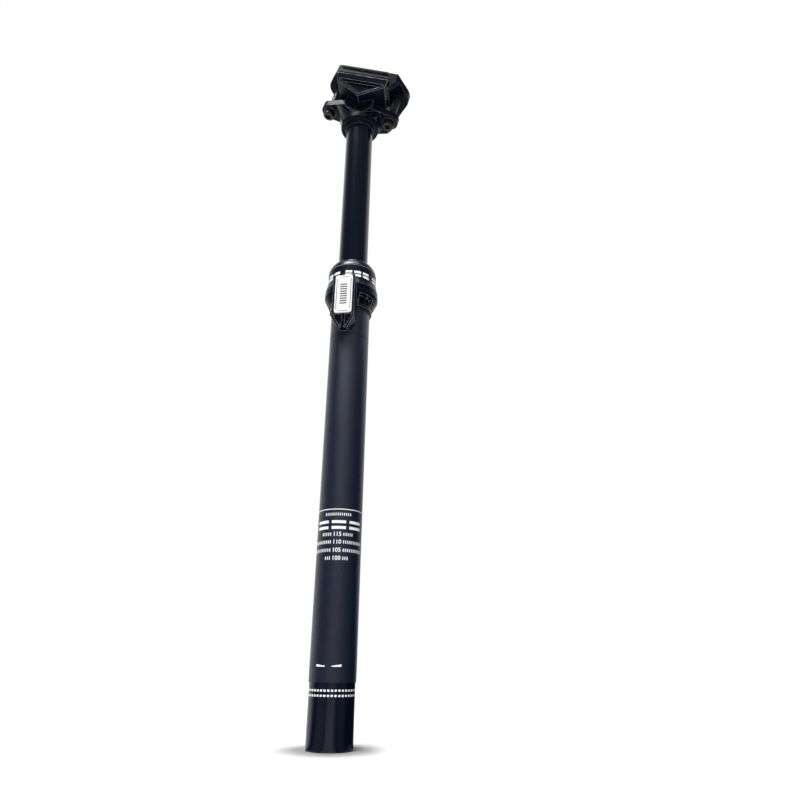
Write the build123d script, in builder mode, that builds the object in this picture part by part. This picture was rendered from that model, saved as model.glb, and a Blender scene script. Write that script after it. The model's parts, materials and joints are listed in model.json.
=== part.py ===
from build123d import *
from math import cos, degrees, radians, sin, sqrt, tan
import os

os.makedirs("parts", exist_ok=True)

# A dropper seatpost. The origin is the centre of the base, +Z runs up the post
# to the saddle clamp and +X points to the front of the bicycle. Millimetres.

# Driving dimensions of the post
tube_radius = 13.6
tube_wall = 1.5
stop_groove_drop = 1.0
stop_groove_width = 0.6
stop_groove_depth = 0.2
cap_radius = 13.2
cap_height = 34.0
insert_length = 240.8
stanchion_radius = 10.7
stanchion_wall = 1.8
travel = 125.0
spare_stanchion = 13.0
overrun = 1.0

# Clearances
running_gap = 0.05
sliding_gap = 0.1
free_gap = 0.3
thread_gap = 0.2

# Collar: a skirt and a bulged ring on the tube, with a nut above them
skirt_radius = 15.0
skirt_height = 4.2
ring_radius = 15.8
ring_height = 12.0
ring_bevel = 0.2
bulge_radius = 19.1
bulge_low = 6.8
bulge_high = 11.0
nut_gap = 0.2
nut_radius = 17.4
nut_flare_height = 8.5
nut_height = 21.6
nut_crown_height = 5.8
nut_crown_depth = 2.8
nut_foot_radius = 19.0
nut_curve_share = 0.42
nut_curve_dip = 0.1
nut_cover = 11.8
nut_lip = 2.0
nut_mouth_radius = 11.6
wiper_radius = 12.8
wiper_lip = 1.2

tube_bore = tube_radius - tube_wall
stanchion_bore = stanchion_radius - stanchion_wall
skirt_bottom = cap_height + insert_length
ring_bottom = skirt_bottom + skirt_height
ring_top = ring_bottom + ring_height
nut_bottom = ring_top + nut_gap
nut_top = nut_bottom + nut_height
tube_top = nut_top - nut_cover
wiper_top = nut_top + wiper_lip

# Bottom of the post: cap, anchor of the damper rod
cap_floor = 5.0
cap_bevel = 0.8
spigot_length = 7.0
spigot_wall = 2.0
cap_seal_radius = 0.5
cap_seal_height = 3.0
anchor_gap = 0.5
anchor_slot_height = 12.5
anchor_solid_height = 8.0
anchor_thread = 7.0
anchor_bottom = cap_height + spigot_length + anchor_gap
slot_top = anchor_bottom + anchor_slot_height
anchor_top = slot_top + anchor_solid_height

# Air spring and damper inside the stanchion
bottom_gap = 3.0
seal_flange = 2.0
seal_head_height = 14.0
rod_radius = 4.0
rod_bore = 1.5
ring_seal_width = 1.5
ring_seal_height = 1.6
bumper_height = 4.0
bumper_wall = 2.6
piston_height = 10.0
piston_inset = 0.15
floating_height = 10.0
floating_margin = 6.0
glide_height = 8.0
key_radius = 1.2
key_length = 14.0
key_circle = 11.4
key_gap = 1.0
key_count = 3

# Guides at the top of the outer tube
guide_margin = 1.0
cage_end_wall = 1.0
roller_radius = 0.5
roller_count = 12

stanchion_bottom = anchor_top + bottom_gap + seal_flange + travel
seal_head_top = stanchion_bottom + seal_head_height
piston_bottom = seal_head_top + bumper_height
piston_top = piston_bottom + piston_height
floating_share = (rod_radius / stanchion_bore) ** 2
floating_bottom = piston_top + travel * (1 - floating_share) + floating_margin
piston_radius = stanchion_bore - running_gap - piston_inset
seal_radius = stanchion_bore - running_gap

# Cable actuator in the collar, turned a little from square across the post
housing_turn = -7.0
housing_half = 7.7
housing_face = 21.4
housing_wall = 1.5
housing_drop = 21.2
housing_taper = 7.4
tip_half = 3.6
tip_face = 20.6
housing_rise = 3.8
box_gap = 0.4
badge_half = 6.15
badge_length = 29.9
badge_inset = 0.5
badge_corner = 1.6
badge_below_skirt = 10.5
badge_thickness = 0.9
cavity_half = 3.6
port_reach = 17.3
port_radius = 2.5
port_depth = 8.0
front_rim = 1.3
front_recess = 0.8
front_slot_half = 1.0
inner_cable_radius = 0.9
lever_pivot_reach = 14.6
lever_pivot_drop = 6.5
lever_hub = 2.0
lever_pin_radius = 0.9
lever_half_width = 2.0
lever_bar = 1.7
lever_inner = 3.6
lever_outer = 3.2
lever_boss = 1.6
lever_swing = 36.0
clamp_screw_radius = 0.8
clamp_screw_stand = 0.4
wire_radius = 0.4
wire_circle = 11.7
wire_groove = 1.0
wire_ball = 0.8
ball_gap = 0.15
fork_slot = 0.5
tube_window_half = 2.6
tube_window_height = 14.0
side_window_start = -63.0
side_window_arc = 43.0
side_window_low = 1.8
side_window_height = 7.0
side_window_floor = 14.3
screw_radius = 0.9
screw_head_radius = 1.4
screw_head_height = 1.8
screw_bite = 4.0
screw_reach = 16.2

# Rocker and valve pin at the foot of the damper rod
rocker_reach = 6.5
rocker_rise = 5.0
rocker_hub = 2.2
rocker_pin_radius = 1.0
rocker_pin_inset = 1.0
rocker_bar = 2.4
rocker_half_width = 2.0
valve_radius = 1.2
valve_collar = 2.2
valve_collar_height = 1.2
valve_collar_rise = 2.6
spring_wall = 0.6

# Saddle head and clamp; the clamp leans forward by the seat angle
seat_tilt = 15.0
pivot_over_flange = 18.0
rail_over_pivot = 15.5
flange_radius = 15.4
flange_height = 5.5
flange_recess_radius = 13.4
flange_recess_inner = 12.9
flange_recess = 3.0
stop_cone_height = 2.5
stop_cone_wall = 0.5
flange_fillet = 1.2
socket_radius = 13.4
socket_below_pivot = 2.0
stanchion_below_pivot = 4.0
seat_radius = 11.5
seat_half = 13.5
seat_gap = 0.3
bolt_clearance = 1.55
ear_radius = 7.2
ear_top = 2.5
ear_bottom = -2.7
ear_hole = 4.2
arm_half = 11.0
arm_root = 12.0
gusset_half = 9.0
gusset_inset = 1.0
washer_bottom = -3.2
washer_radius = 5.3
washer_seat = 6.5
lean_height = -7.2
seat_plan_radius = 5.8
bolt_radius = 2.95
bolt_head_radius = 4.5
bolt_head_height = 5.0
bolt_end = 35.0
bolt_bevel = 0.6
hex_width = 5.0
hex_depth = 2.8
nut_height_over_pivot = 30.0
barrel_radius = 4.0
barrel_half = 7.5
barrel_bevel = 0.8

# Rails of the saddle and the clamp halves that hold them
rail_radius = 3.5
rail_half_spacing = 22.0
clamp_half_width = 26.0
clamp_split = 1.4
clamp_half_length = 21.5
cradle_end_height = 6.3
cradle_apex = -1.0
cradle_rim = 1.5
cradle_ledge = 1.7
cradle_pocket = 1.6
cradle_deep_pocket = 4.2
cheek_lean = 20.0
beam_inner = 17.5
beam_top = 23.4
beam_taper = 2.0
beam_channel = 1.0
beam_band = 1.5
plate_bottom = 25.0
plate_top = 30.5
plate_half_width = 19.5
riser_width = 6.5
riser_past_bolt = 1.0
riser_inner = 14.0
lobe_reach = 11.0
lobe_fillet = 12.0
window_margin = 8.0
window_half_width = 14.5
bolt_slot_half = 4.4
bolt_slot_width = 3.6

# Air valve under the clamp
plug_height = 10.0
valve_neck_radius = 3.6
valve_neck_height = 10.0
valve_channel = 1.6
valve_core_length = 14.0
valve_cap_radius = 4.8
valve_cap_height = 10.0
valve_cap_rise = 3.5
valve_cap_bevel = 0.8
valve_bore = 5.3
valve_access = 5.5

# The bolts stand past the ends of the clamp, and the lobes past the bolts
bolt_half = clamp_half_length + bolt_radius + bolt_clearance
lobe_point = bolt_half + lobe_reach
riser_reach = bolt_half + riser_past_bolt
riser_foot = clamp_half_length - riser_width
beam_top_half = clamp_half_length - beam_taper
window_half_length = bolt_half - window_margin

flange_bottom = wiper_top + travel + spare_stanchion
flange_top = flange_bottom + flange_height
pivot_height = flange_bottom + pivot_over_flange
stanchion_top = pivot_height - stanchion_below_pivot
socket_top = pivot_height - socket_below_pivot
tilt = radians(seat_tilt)
rail_height = pivot_height + rail_over_pivot / cos(tilt)

# Directions and planes of the tilted clamp
pivot = Vector(0, 0, pivot_height)
along = Vector(cos(tilt), 0, -sin(tilt))
above = Vector(sin(tilt), 0, cos(tilt))
aside = Vector(0, 1, 0)
clamp_side = Plane(origin=pivot, x_dir=along, z_dir=-aside)


def clamp_point(forward, high, sideways=0.0):
    """A place in the clamp's own directions."""
    return pivot + along * forward + above * high + aside * sideways


def clamp_plan(high, forward=0.0):
    """A plane across the bolts, at a height over the clamp's pivot."""
    return Plane(origin=clamp_point(forward, high), x_dir=along, z_dir=above)


def clamp_cheek(sideways):
    """A plane of side profiles at one side of the clamp."""
    return Plane(origin=clamp_point(0, 0, sideways), x_dir=along, z_dir=-aside)


def rail_plane(sideways):
    """The plane across one saddle rail, behind the clamp."""
    behind = -lobe_point - overrun
    return Plane(origin=clamp_point(behind, rail_over_pivot, sideways), z_dir=along)


def from_post(x, z):
    """A place on the post's middle plane, in the clamp's directions."""
    rise = z - pivot_height
    return (x * cos(tilt) - rise * sin(tilt), x * sin(tilt) + rise * cos(tilt))


# Directions and planes of the turned actuator
turn = radians(housing_turn)
outward = Vector(sin(turn), -cos(turn), 0)
hinge = Vector(cos(turn), sin(turn), 0)
lever_side = Plane(origin=(0, 0, 0), x_dir=outward, z_dir=-hinge)


def actuator_plan(height):
    """A level plane whose -Y side faces the cable actuator."""
    return Plane(origin=(0, 0, height), x_dir=hinge, z_dir=(0, 0, 1))


def actuator_face(reach):
    """An upright plane in front of the actuator."""
    return Plane(origin=outward * reach, x_dir=hinge, z_dir=outward)


# Outer tube with a fine stop groove outside, and grooves for the keys and the pull wire inside
lever_height = ring_bottom - lever_pivot_drop
tip_height = skirt_bottom - housing_drop
stop_groove_bottom = tip_height - stop_groove_drop
wire_place = (0, -wire_circle)

with BuildPart() as outer_tube:
    with BuildSketch(Plane.XY.offset(cap_height)):
        Circle(tube_radius)
        Circle(tube_bore, mode=Mode.SUBTRACT)
    extrude(amount=tube_top - cap_height)
    with BuildSketch(Plane.XY.offset(stop_groove_bottom)):
        Circle(tube_radius + overrun)
        Circle(tube_radius - stop_groove_depth, mode=Mode.SUBTRACT)
    extrude(amount=stop_groove_width, mode=Mode.SUBTRACT)
    with BuildSketch(actuator_plan(anchor_top)):
        with PolarLocations(key_circle, key_count, start_angle=90):
            Circle(key_radius + sliding_gap)
    extrude(amount=tube_top - anchor_top + overrun, mode=Mode.SUBTRACT)
    with BuildSketch(actuator_plan(anchor_bottom)):
        with Locations(wire_place):
            Circle(wire_groove)
    extrude(amount=lever_height - anchor_bottom, mode=Mode.SUBTRACT)
    with BuildSketch(actuator_face(stanchion_radius)):
        with Locations((0, lever_height)):
            Rectangle(2 * tube_window_half, tube_window_height)
    extrude(amount=tube_radius, mode=Mode.SUBTRACT)
outer_tube.part.label = "outer_tube"
export_step(outer_tube.part, "parts/outer_tube.step")

# Bottom cap, screwed into the tube
spigot_top = cap_height + spigot_length
spigot_bore = tube_bore - spigot_wall
seal_groove_low = cap_height + cap_seal_height
seal_groove_high = seal_groove_low + 2 * cap_seal_radius
seal_groove_floor = tube_bore - 2 * cap_seal_radius

with BuildPart() as bottom_cap:
    with BuildSketch(Plane.XZ):
        with BuildLine():
            Polyline(
                (0, 0),
                (cap_radius - cap_bevel, 0),
                (cap_radius, cap_bevel),
                (cap_radius, cap_height),
                (tube_bore, cap_height),
                (tube_bore, seal_groove_low),
                (seal_groove_floor, seal_groove_low),
                (seal_groove_floor, seal_groove_high),
                (tube_bore, seal_groove_high),
                (tube_bore, spigot_top),
                (spigot_bore, spigot_top),
                (spigot_bore, cap_floor),
                (0, cap_floor),
                close=True,
            )
        make_face()
    revolve(axis=Axis.Z)
bottom_cap.part.label = "bottom_cap"
export_step(bottom_cap.part, "parts/bottom_cap.step")


def ring(name, outer, inner, bottom, height):
    """A plain ring about the post."""
    with BuildPart() as piece:
        with BuildSketch(Plane.XY.offset(bottom)):
            Circle(outer)
            Circle(inner, mode=Mode.SUBTRACT)
        extrude(amount=height)
    piece.part.label = name
    export_step(piece.part, f"parts/{name}.step")


def seal_ring(name, middle, thickness, height):
    """A round sealing ring about the post."""
    with BuildPart() as piece:
        with BuildSketch(Plane.XZ):
            with Locations((middle, height)):
                Circle(thickness)
        revolve(axis=Axis.Z)
    piece.part.label = name
    export_step(piece.part, f"parts/{name}.step")


seal_ring(
    "cap_seal",
    tube_bore - cap_seal_radius,
    cap_seal_radius,
    (seal_groove_low + seal_groove_high) / 2,
)

# Anchor of the damper rod, slotted for the rocker
rocker_height = anchor_bottom + rocker_rise
rod_bottom = anchor_top - anchor_thread

with BuildPart() as rod_anchor:
    with BuildSketch(Plane.XY.offset(anchor_bottom)):
        Circle(tube_bore)
    extrude(amount=anchor_top - anchor_bottom)
    with BuildSketch(lever_side):
        with Locations(((tube_bore - rocker_reach - rocker_hub) / 2, (anchor_bottom + slot_top) / 2)):
            Rectangle(tube_bore + rocker_reach + rocker_hub + 2 * overrun, anchor_slot_height)
    extrude(amount=rocker_half_width + free_gap, both=True, mode=Mode.SUBTRACT)
    with BuildSketch(lever_side):
        with Locations((-rocker_reach, rocker_height)):
            Circle(rocker_pin_radius)
    extrude(amount=tube_bore, both=True, mode=Mode.SUBTRACT)
    with BuildSketch(Plane.XY.offset(slot_top)):
        Circle(valve_radius + free_gap)
    extrude(amount=anchor_top - slot_top, mode=Mode.SUBTRACT)
    with BuildSketch(Plane.XY.offset(rod_bottom)):
        Circle(rod_radius)
    extrude(amount=anchor_thread, mode=Mode.SUBTRACT)
    with BuildSketch(actuator_plan(slot_top)):
        with Locations(wire_place):
            Circle(wire_radius + free_gap)
    extrude(amount=anchor_top - slot_top, mode=Mode.SUBTRACT)
rod_anchor.part.label = "rod_anchor"
export_step(rod_anchor.part, "parts/rod_anchor.step")

rocker_pin_half = sqrt(tube_bore**2 - rocker_reach**2) - rocker_pin_inset

with BuildPart() as rocker_pin:
    with BuildSketch(lever_side):
        with Locations((-rocker_reach, rocker_height)):
            Circle(rocker_pin_radius)
    extrude(amount=rocker_pin_half, both=True)
rocker_pin.part.label = "rocker_pin"
export_step(rocker_pin.part, "parts/rocker_pin.step")

# Damper rod with the fixed piston on its upper end
bumper_bottom = seal_head_top + free_gap
ring("damper_rod", rod_radius, rod_bore, rod_bottom, piston_top - rod_bottom)
ring("topout_bumper", rod_radius + bumper_wall, rod_radius, bumper_bottom, piston_bottom - bumper_bottom)

piston_groove_low = piston_bottom + (piston_height - ring_seal_height) / 2
groove_floor = seal_radius - ring_seal_width


def grooved_piston(name, bore, bottom, height, groove_low):
    """A piston with one groove for its sealing ring."""
    with BuildPart() as piece:
        with BuildSketch(Plane.XY.offset(bottom)):
            Circle(piston_radius)
            if bore:
                Circle(bore, mode=Mode.SUBTRACT)
        extrude(amount=height)
        with BuildSketch(Plane.XY.offset(groove_low)):
            Circle(stanchion_bore)
            Circle(groove_floor, mode=Mode.SUBTRACT)
        extrude(amount=ring_seal_height, mode=Mode.SUBTRACT)
    piece.part.label = name
    export_step(piece.part, f"parts/{name}.step")


grooved_piston("main_piston", rod_radius, piston_bottom, piston_height, piston_groove_low)
ring("piston_seal", seal_radius, groove_floor, piston_groove_low, ring_seal_height)

# Stanchion with pockets for the keys
key_bottom = stanchion_bottom + glide_height + key_gap

with BuildPart() as stanchion:
    with BuildSketch(Plane.XY.offset(stanchion_bottom)):
        Circle(stanchion_radius)
        Circle(stanchion_bore, mode=Mode.SUBTRACT)
    extrude(amount=stanchion_top - stanchion_bottom)
    with BuildSketch(actuator_plan(key_bottom)):
        with PolarLocations(key_circle, key_count, start_angle=90):
            Circle(key_radius)
    extrude(amount=key_length, mode=Mode.SUBTRACT)
stanchion.part.label = "stanchion"
export_step(stanchion.part, "parts/stanchion.step")

with BuildPart() as alignment_keys:
    with BuildSketch(actuator_plan(key_bottom)):
        with PolarLocations(key_circle, key_count, start_angle=90):
            Circle(key_radius)
    extrude(amount=key_length)
alignment_keys.part.label = "alignment_keys"
export_step(alignment_keys.part, "parts/alignment_keys.step")

with BuildPart() as glide_ring:
    with BuildSketch(actuator_plan(stanchion_bottom)):
        Circle(tube_bore - sliding_gap)
        Circle(stanchion_radius, mode=Mode.SUBTRACT)
        with Locations(wire_place):
            Circle(wire_groove + sliding_gap, mode=Mode.SUBTRACT)
    extrude(amount=glide_height)
glide_ring.part.label = "glide_ring"
export_step(glide_ring.part, "parts/glide_ring.step")

# Seal head that closes the stanchion around the damper rod
rod_groove_low = stanchion_bottom + (seal_head_height - ring_seal_height) / 2
rod_slide_radius = rod_radius + running_gap

with BuildPart() as seal_head:
    with BuildSketch(Plane.XY.offset(stanchion_bottom)):
        Circle(stanchion_bore)
    extrude(amount=seal_head_height)
    with BuildSketch(Plane.XY.offset(stanchion_bottom - seal_flange)):
        Circle(stanchion_radius)
    extrude(amount=seal_flange)
    with BuildSketch(Plane.XY.offset(stanchion_bottom - seal_flange)):
        Circle(rod_slide_radius)
    extrude(amount=seal_flange + seal_head_height, mode=Mode.SUBTRACT)
    with BuildSketch(Plane.XY.offset(rod_groove_low)):
        Circle(rod_slide_radius + ring_seal_width)
    extrude(amount=ring_seal_height, mode=Mode.SUBTRACT)
seal_head.part.label = "seal_head"
export_step(seal_head.part, "parts/seal_head.step")
ring("rod_seal", rod_slide_radius + ring_seal_width, rod_slide_radius, rod_groove_low, ring_seal_height)

# Piston that floats between oil and air
floating_groove_low = floating_bottom + (floating_height - ring_seal_height) / 2
grooved_piston("floating_piston", 0, floating_bottom, floating_height, floating_groove_low)
ring("floating_seal", seal_radius, groove_floor, floating_groove_low, ring_seal_height)

# Bushing and one-way clutch that guide the stanchion
guide_radius = stanchion_radius + running_gap
clutch_height = (tube_top - lever_height - tube_window_height / 2) / 2 - guide_margin
bushing_bottom = tube_top - 2 * clutch_height
roller_circle = stanchion_radius + roller_radius + thread_gap
roller_length = clutch_height - 2 * cage_end_wall
roller_bottom = bushing_bottom + clutch_height + cage_end_wall
cage_inner = stanchion_radius + sliding_gap
ring("upper_bushing", tube_bore, guide_radius, bushing_bottom, clutch_height)

with BuildPart() as clutch_cage:
    with BuildSketch(Plane.XY.offset(bushing_bottom + clutch_height)):
        Circle(tube_bore)
        Circle(cage_inner, mode=Mode.SUBTRACT)
    extrude(amount=clutch_height)
    with BuildSketch(Plane.XY.offset(roller_bottom)):
        with PolarLocations(roller_circle, roller_count):
            Circle(roller_radius + running_gap)
    extrude(amount=roller_length, mode=Mode.SUBTRACT)
clutch_cage.part.label = "clutch_cage"
export_step(clutch_cage.part, "parts/clutch_cage.step")

with BuildPart() as clutch_rollers:
    with BuildSketch(Plane.XY.offset(roller_bottom)):
        with PolarLocations(roller_circle, roller_count):
            Circle(roller_radius)
    extrude(amount=roller_length)
clutch_rollers.part.label = "clutch_rollers"
export_step(clutch_rollers.part, "parts/clutch_rollers.step")

# Collar nut with a flared foot and a rounded crown
wiper_bottom = tube_top
wiper_seat_top = nut_top - nut_lip
nut_crown_bottom = nut_top - nut_crown_height
nut_curve_radius = (nut_foot_radius + nut_radius) / 2 - nut_curve_dip

with BuildPart() as collar_nut:
    with BuildSketch(Plane.XZ):
        with BuildLine():
            Line((tube_radius, nut_bottom), (nut_foot_radius, nut_bottom))
            ThreePointArc(
                (nut_foot_radius, nut_bottom),
                (nut_curve_radius, nut_bottom + nut_flare_height * nut_curve_share),
                (nut_radius, nut_bottom + nut_flare_height),
            )
            Line((nut_radius, nut_bottom + nut_flare_height), (nut_radius, nut_crown_bottom))
            ThreePointArc(
                (nut_radius, nut_crown_bottom),
                (nut_radius - nut_crown_depth / 3, nut_top - nut_crown_height / 2),
                (nut_radius - nut_crown_depth, nut_top),
            )
            Polyline(
                (nut_radius - nut_crown_depth, nut_top),
                (nut_mouth_radius, nut_top),
                (nut_mouth_radius, wiper_seat_top),
                (wiper_radius, wiper_seat_top),
                (wiper_radius, tube_top),
                (tube_radius, tube_top),
                (tube_radius, nut_bottom),
            )
        make_face()
    revolve(axis=Axis.Z)
collar_nut.part.label = "collar_nut"
export_step(collar_nut.part, "parts/collar_nut.step")

with BuildPart() as wiper_seal:
    with BuildSketch(Plane.XZ):
        with BuildLine():
            Polyline(
                (guide_radius, wiper_bottom),
                (wiper_radius, wiper_bottom),
                (wiper_radius, wiper_seat_top),
                (nut_mouth_radius, wiper_seat_top),
                (nut_mouth_radius, nut_top + wiper_lip / 2),
                (guide_radius + wiper_lip / 4, wiper_top),
                (guide_radius, wiper_top),
                close=True,
            )
        make_face()
    revolve(axis=Axis.Z)
wiper_seal.part.label = "wiper_seal"
export_step(wiper_seal.part, "parts/wiper_seal.step")

# Actuator housing: bulged ring, box for the lever and a tapered cable tip
badge_bottom = skirt_bottom - badge_below_skirt
badge_middle = badge_bottom + badge_length / 2
window_start = radians(side_window_start)
window_turn = window_start + radians(side_window_arc) / 2
window_out = Vector(cos(window_turn), sin(window_turn), 0)
side_window_bottom = skirt_bottom + side_window_low
side_window_top = side_window_bottom + side_window_height
side_window_width = bulge_radius + overrun - side_window_floor
side_window_plane = Plane(
    origin=(0, 0, 0),
    x_dir=(cos(window_start), sin(window_start), 0),
    z_dir=(sin(window_start), -cos(window_start), 0),
)
screw_plane = Plane(origin=window_out * screw_reach + Vector(0, 0, side_window_top), z_dir=(0, 0, 1))
taper_height = tip_height + housing_taper
housing_top = ring_top + housing_rise
box_back = bulge_radius + box_gap

with BuildPart() as actuator_housing:
    with BuildSketch(Plane.XZ):
        with BuildLine():
            Polyline(
                (tube_radius, skirt_bottom),
                (skirt_radius - ring_bevel, skirt_bottom),
                (skirt_radius, skirt_bottom + ring_bevel),
                (skirt_radius, ring_bottom),
                (ring_radius, ring_bottom),
                (bulge_radius, ring_bottom + bulge_low),
                (bulge_radius, ring_bottom + bulge_high),
                (bulge_radius - ring_bevel, ring_top),
                (tube_radius, ring_top),
                close=True,
            )
        make_face()
    revolve(axis=Axis.Z)
    with BuildSketch(actuator_face(tube_bore)):
        with BuildLine():
            Polyline(
                (-tip_half, tip_height),
                (tip_half, tip_height),
                (housing_half, taper_height),
                (housing_half, ring_top),
                (-housing_half, ring_top),
                (-housing_half, taper_height),
                close=True,
            )
        make_face()
    extrude(amount=housing_face - tube_bore)
    with BuildSketch(actuator_face(box_back)):
        with Locations((0, (ring_top + housing_top) / 2)):
            Rectangle(2 * housing_half, housing_top - ring_top)
    extrude(amount=housing_face - box_back)
    with BuildSketch(lever_side):
        with BuildLine():
            Polyline(
                (tip_face, tip_height - overrun),
                (tip_face, tip_height),
                (housing_face, taper_height),
                (housing_face + overrun, taper_height),
                (housing_face + overrun, tip_height - overrun),
                close=True,
            )
        make_face()
    extrude(amount=housing_half + overrun, both=True, mode=Mode.SUBTRACT)
    with BuildSketch(Plane.XY.offset(tip_height)):
        Circle(tube_radius)
    extrude(amount=ring_top - tip_height, mode=Mode.SUBTRACT)
    # Cavity of the lever, open at the front under the badge plate
    with BuildSketch(actuator_face(tube_bore)):
        with Locations((0, lever_height)):
            Rectangle(2 * cavity_half, tube_window_height)
    extrude(amount=housing_face - tube_bore + overrun, mode=Mode.SUBTRACT)
    # Seat of the badge plate, and the hollow front of the tip with its cable slot
    with BuildSketch(actuator_face(housing_face - badge_inset)):
        with Locations((0, badge_middle)):
            RectangleRounded(2 * badge_half, badge_length, badge_corner)
    extrude(amount=badge_inset + overrun, mode=Mode.SUBTRACT)
    with BuildSketch(actuator_face(tip_face - front_recess)):
        with BuildLine():
            Polyline(
                (-tip_half + front_rim, tip_height + front_rim),
                (tip_half - front_rim, tip_height + front_rim),
                (housing_half - front_rim, taper_height + front_rim / 2),
                (housing_half - front_rim, badge_bottom),
                (-housing_half + front_rim, badge_bottom),
                (-housing_half + front_rim, taper_height + front_rim / 2),
                close=True,
            )
        make_face()
    extrude(amount=housing_face, mode=Mode.SUBTRACT)
    with BuildSketch(actuator_face(port_reach)):
        with Locations((0, (tip_height + badge_bottom) / 2)):
            Rectangle(2 * front_slot_half, badge_bottom - tip_height)
    extrude(amount=housing_face, mode=Mode.SUBTRACT)
    # Cable port from below, with a narrower way on for the inner cable
    with BuildSketch(actuator_plan(tip_height)):
        with Locations((0, -port_reach)):
            Circle(port_radius)
    extrude(amount=port_depth, mode=Mode.SUBTRACT)
    with BuildSketch(actuator_plan(tip_height)):
        with Locations((0, -port_reach)):
            Circle(inner_cable_radius)
    extrude(amount=lever_height - tip_height, mode=Mode.SUBTRACT)
    # Pin hole of the lever
    with BuildSketch(lever_side):
        with Locations((lever_pivot_reach, lever_height)):
            Circle(lever_pin_radius)
    extrude(amount=housing_half - housing_wall, both=True, mode=Mode.SUBTRACT)
    # Window in the side of the ring, with the hole of the collar screw in its roof
    with BuildSketch(side_window_plane):
        with Locations((side_window_floor + side_window_width / 2, (side_window_bottom + side_window_top) / 2)):
            Rectangle(side_window_width, side_window_height)
    revolve(axis=Axis.Z, revolution_arc=side_window_arc, mode=Mode.SUBTRACT)
    with BuildSketch(screw_plane):
        Circle(screw_radius)
    extrude(amount=screw_bite, mode=Mode.SUBTRACT)
actuator_housing.part.label = "actuator_housing"
export_step(actuator_housing.part, "parts/actuator_housing.step")

# Badge plate, which also covers the lever's cavity
with BuildPart() as badge_plate:
    with BuildSketch(actuator_face(housing_face - badge_inset)):
        with Locations((0, badge_middle)):
            RectangleRounded(2 * badge_half, badge_length, badge_corner)
    extrude(amount=badge_thickness)
badge_plate.part.label = "badge_plate"
export_step(badge_plate.part, "parts/badge_plate.step")

with BuildPart() as lever_pin:
    with BuildSketch(lever_side):
        with Locations((lever_pivot_reach, lever_height)):
            Circle(lever_pin_radius)
    extrude(amount=housing_half - housing_wall, both=True)
lever_pin.part.label = "lever_pin"
export_step(lever_pin.part, "parts/lever_pin.step")

with BuildPart() as collar_screw:
    with BuildSketch(screw_plane):
        Circle(screw_radius)
    extrude(amount=screw_bite)
    with BuildSketch(screw_plane.offset(-screw_head_height)):
        Circle(screw_head_radius)
    extrude(amount=screw_head_height)
    with BuildSketch(screw_plane.offset(-screw_head_height)):
        RegularPolygon(screw_radius, 6, major_radius=False)
    extrude(amount=screw_head_height / 2, mode=Mode.SUBTRACT)
collar_screw.part.label = "collar_screw"
export_step(collar_screw.part, "parts/collar_screw.step")


def swing_plane(reach, height, angle):
    """A side plane at a pivot of the actuator, leaning by an angle."""
    direction = outward * cos(angle) + Vector(0, 0, sin(angle))
    return Plane(origin=outward * reach + Vector(0, 0, height), x_dir=direction, z_dir=-hinge)


# Lever in the collar, forked under the upper ball of the pull wire
lever_lean = radians(lever_swing) / 2
lever_rest = swing_plane(lever_pivot_reach, lever_height, lever_lean)
wire_arm = lever_pivot_reach - wire_circle
wire_travel = 2 * wire_arm * tan(lever_lean)

with BuildPart() as actuator_lever:
    with BuildSketch(lever_rest):
        Circle(lever_hub)
        with Locations(((lever_outer - lever_inner) / 2, 0)):
            Rectangle(lever_outer + lever_inner, lever_bar)
        with Locations((lever_outer, 0)):
            Circle(lever_boss)
        Circle(lever_pin_radius + running_gap, mode=Mode.SUBTRACT)
        with Locations((lever_outer, 0)):
            Circle(clamp_screw_radius, mode=Mode.SUBTRACT)
    extrude(amount=lever_half_width, both=True)
    with BuildSketch(lever_rest):
        with Locations(((-lever_inner - wire_arm + wire_ball) / 2, 0)):
            Rectangle(lever_inner - wire_arm + wire_ball, 2 * lever_hub)
    extrude(amount=fork_slot, both=True, mode=Mode.SUBTRACT)
actuator_lever.part.label = "actuator_lever"
export_step(actuator_lever.part, "parts/actuator_lever.step")

with BuildPart() as cable_clamp_screw:
    with BuildSketch(lever_rest):
        with Locations((lever_outer, 0)):
            Circle(clamp_screw_radius)
    extrude(amount=lever_half_width + clamp_screw_stand, both=True)
cable_clamp_screw.part.label = "cable_clamp_screw"
export_step(cable_clamp_screw.part, "parts/cable_clamp_screw.step")

# Rocker under the damper rod, lifted at its tip by the lower ball of the wire
rocker_arm = rocker_reach + wire_circle
rocker_lean = wire_travel / 2 / rocker_arm
rocker_rest = swing_plane(-rocker_reach, rocker_height, -rocker_lean)

with BuildPart() as bottom_rocker:
    with BuildSketch(rocker_rest):
        Circle(rocker_hub)
        with Locations(((rocker_arm + sliding_gap) / 2, 0)):
            Rectangle(rocker_arm + sliding_gap, rocker_bar)
        Circle(rocker_pin_radius + running_gap, mode=Mode.SUBTRACT)
    extrude(amount=rocker_half_width, both=True)
    with BuildSketch(rocker_rest):
        with Locations((rocker_arm, 0)):
            Rectangle(2 * wire_ball, 2 * rocker_bar)
    extrude(amount=fork_slot, both=True, mode=Mode.SUBTRACT)
bottom_rocker.part.label = "bottom_rocker"
export_step(bottom_rocker.part, "parts/bottom_rocker.step")

ball_seat = sqrt(wire_ball**2 - fork_slot**2) + ball_gap
upper_ball = lever_height - wire_arm * tan(lever_lean) + (lever_bar / 2 + ball_seat) / cos(lever_lean)
lower_ball = rocker_height - rocker_arm * tan(rocker_lean) - (rocker_bar / 2 + ball_seat) / cos(rocker_lean)

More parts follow.
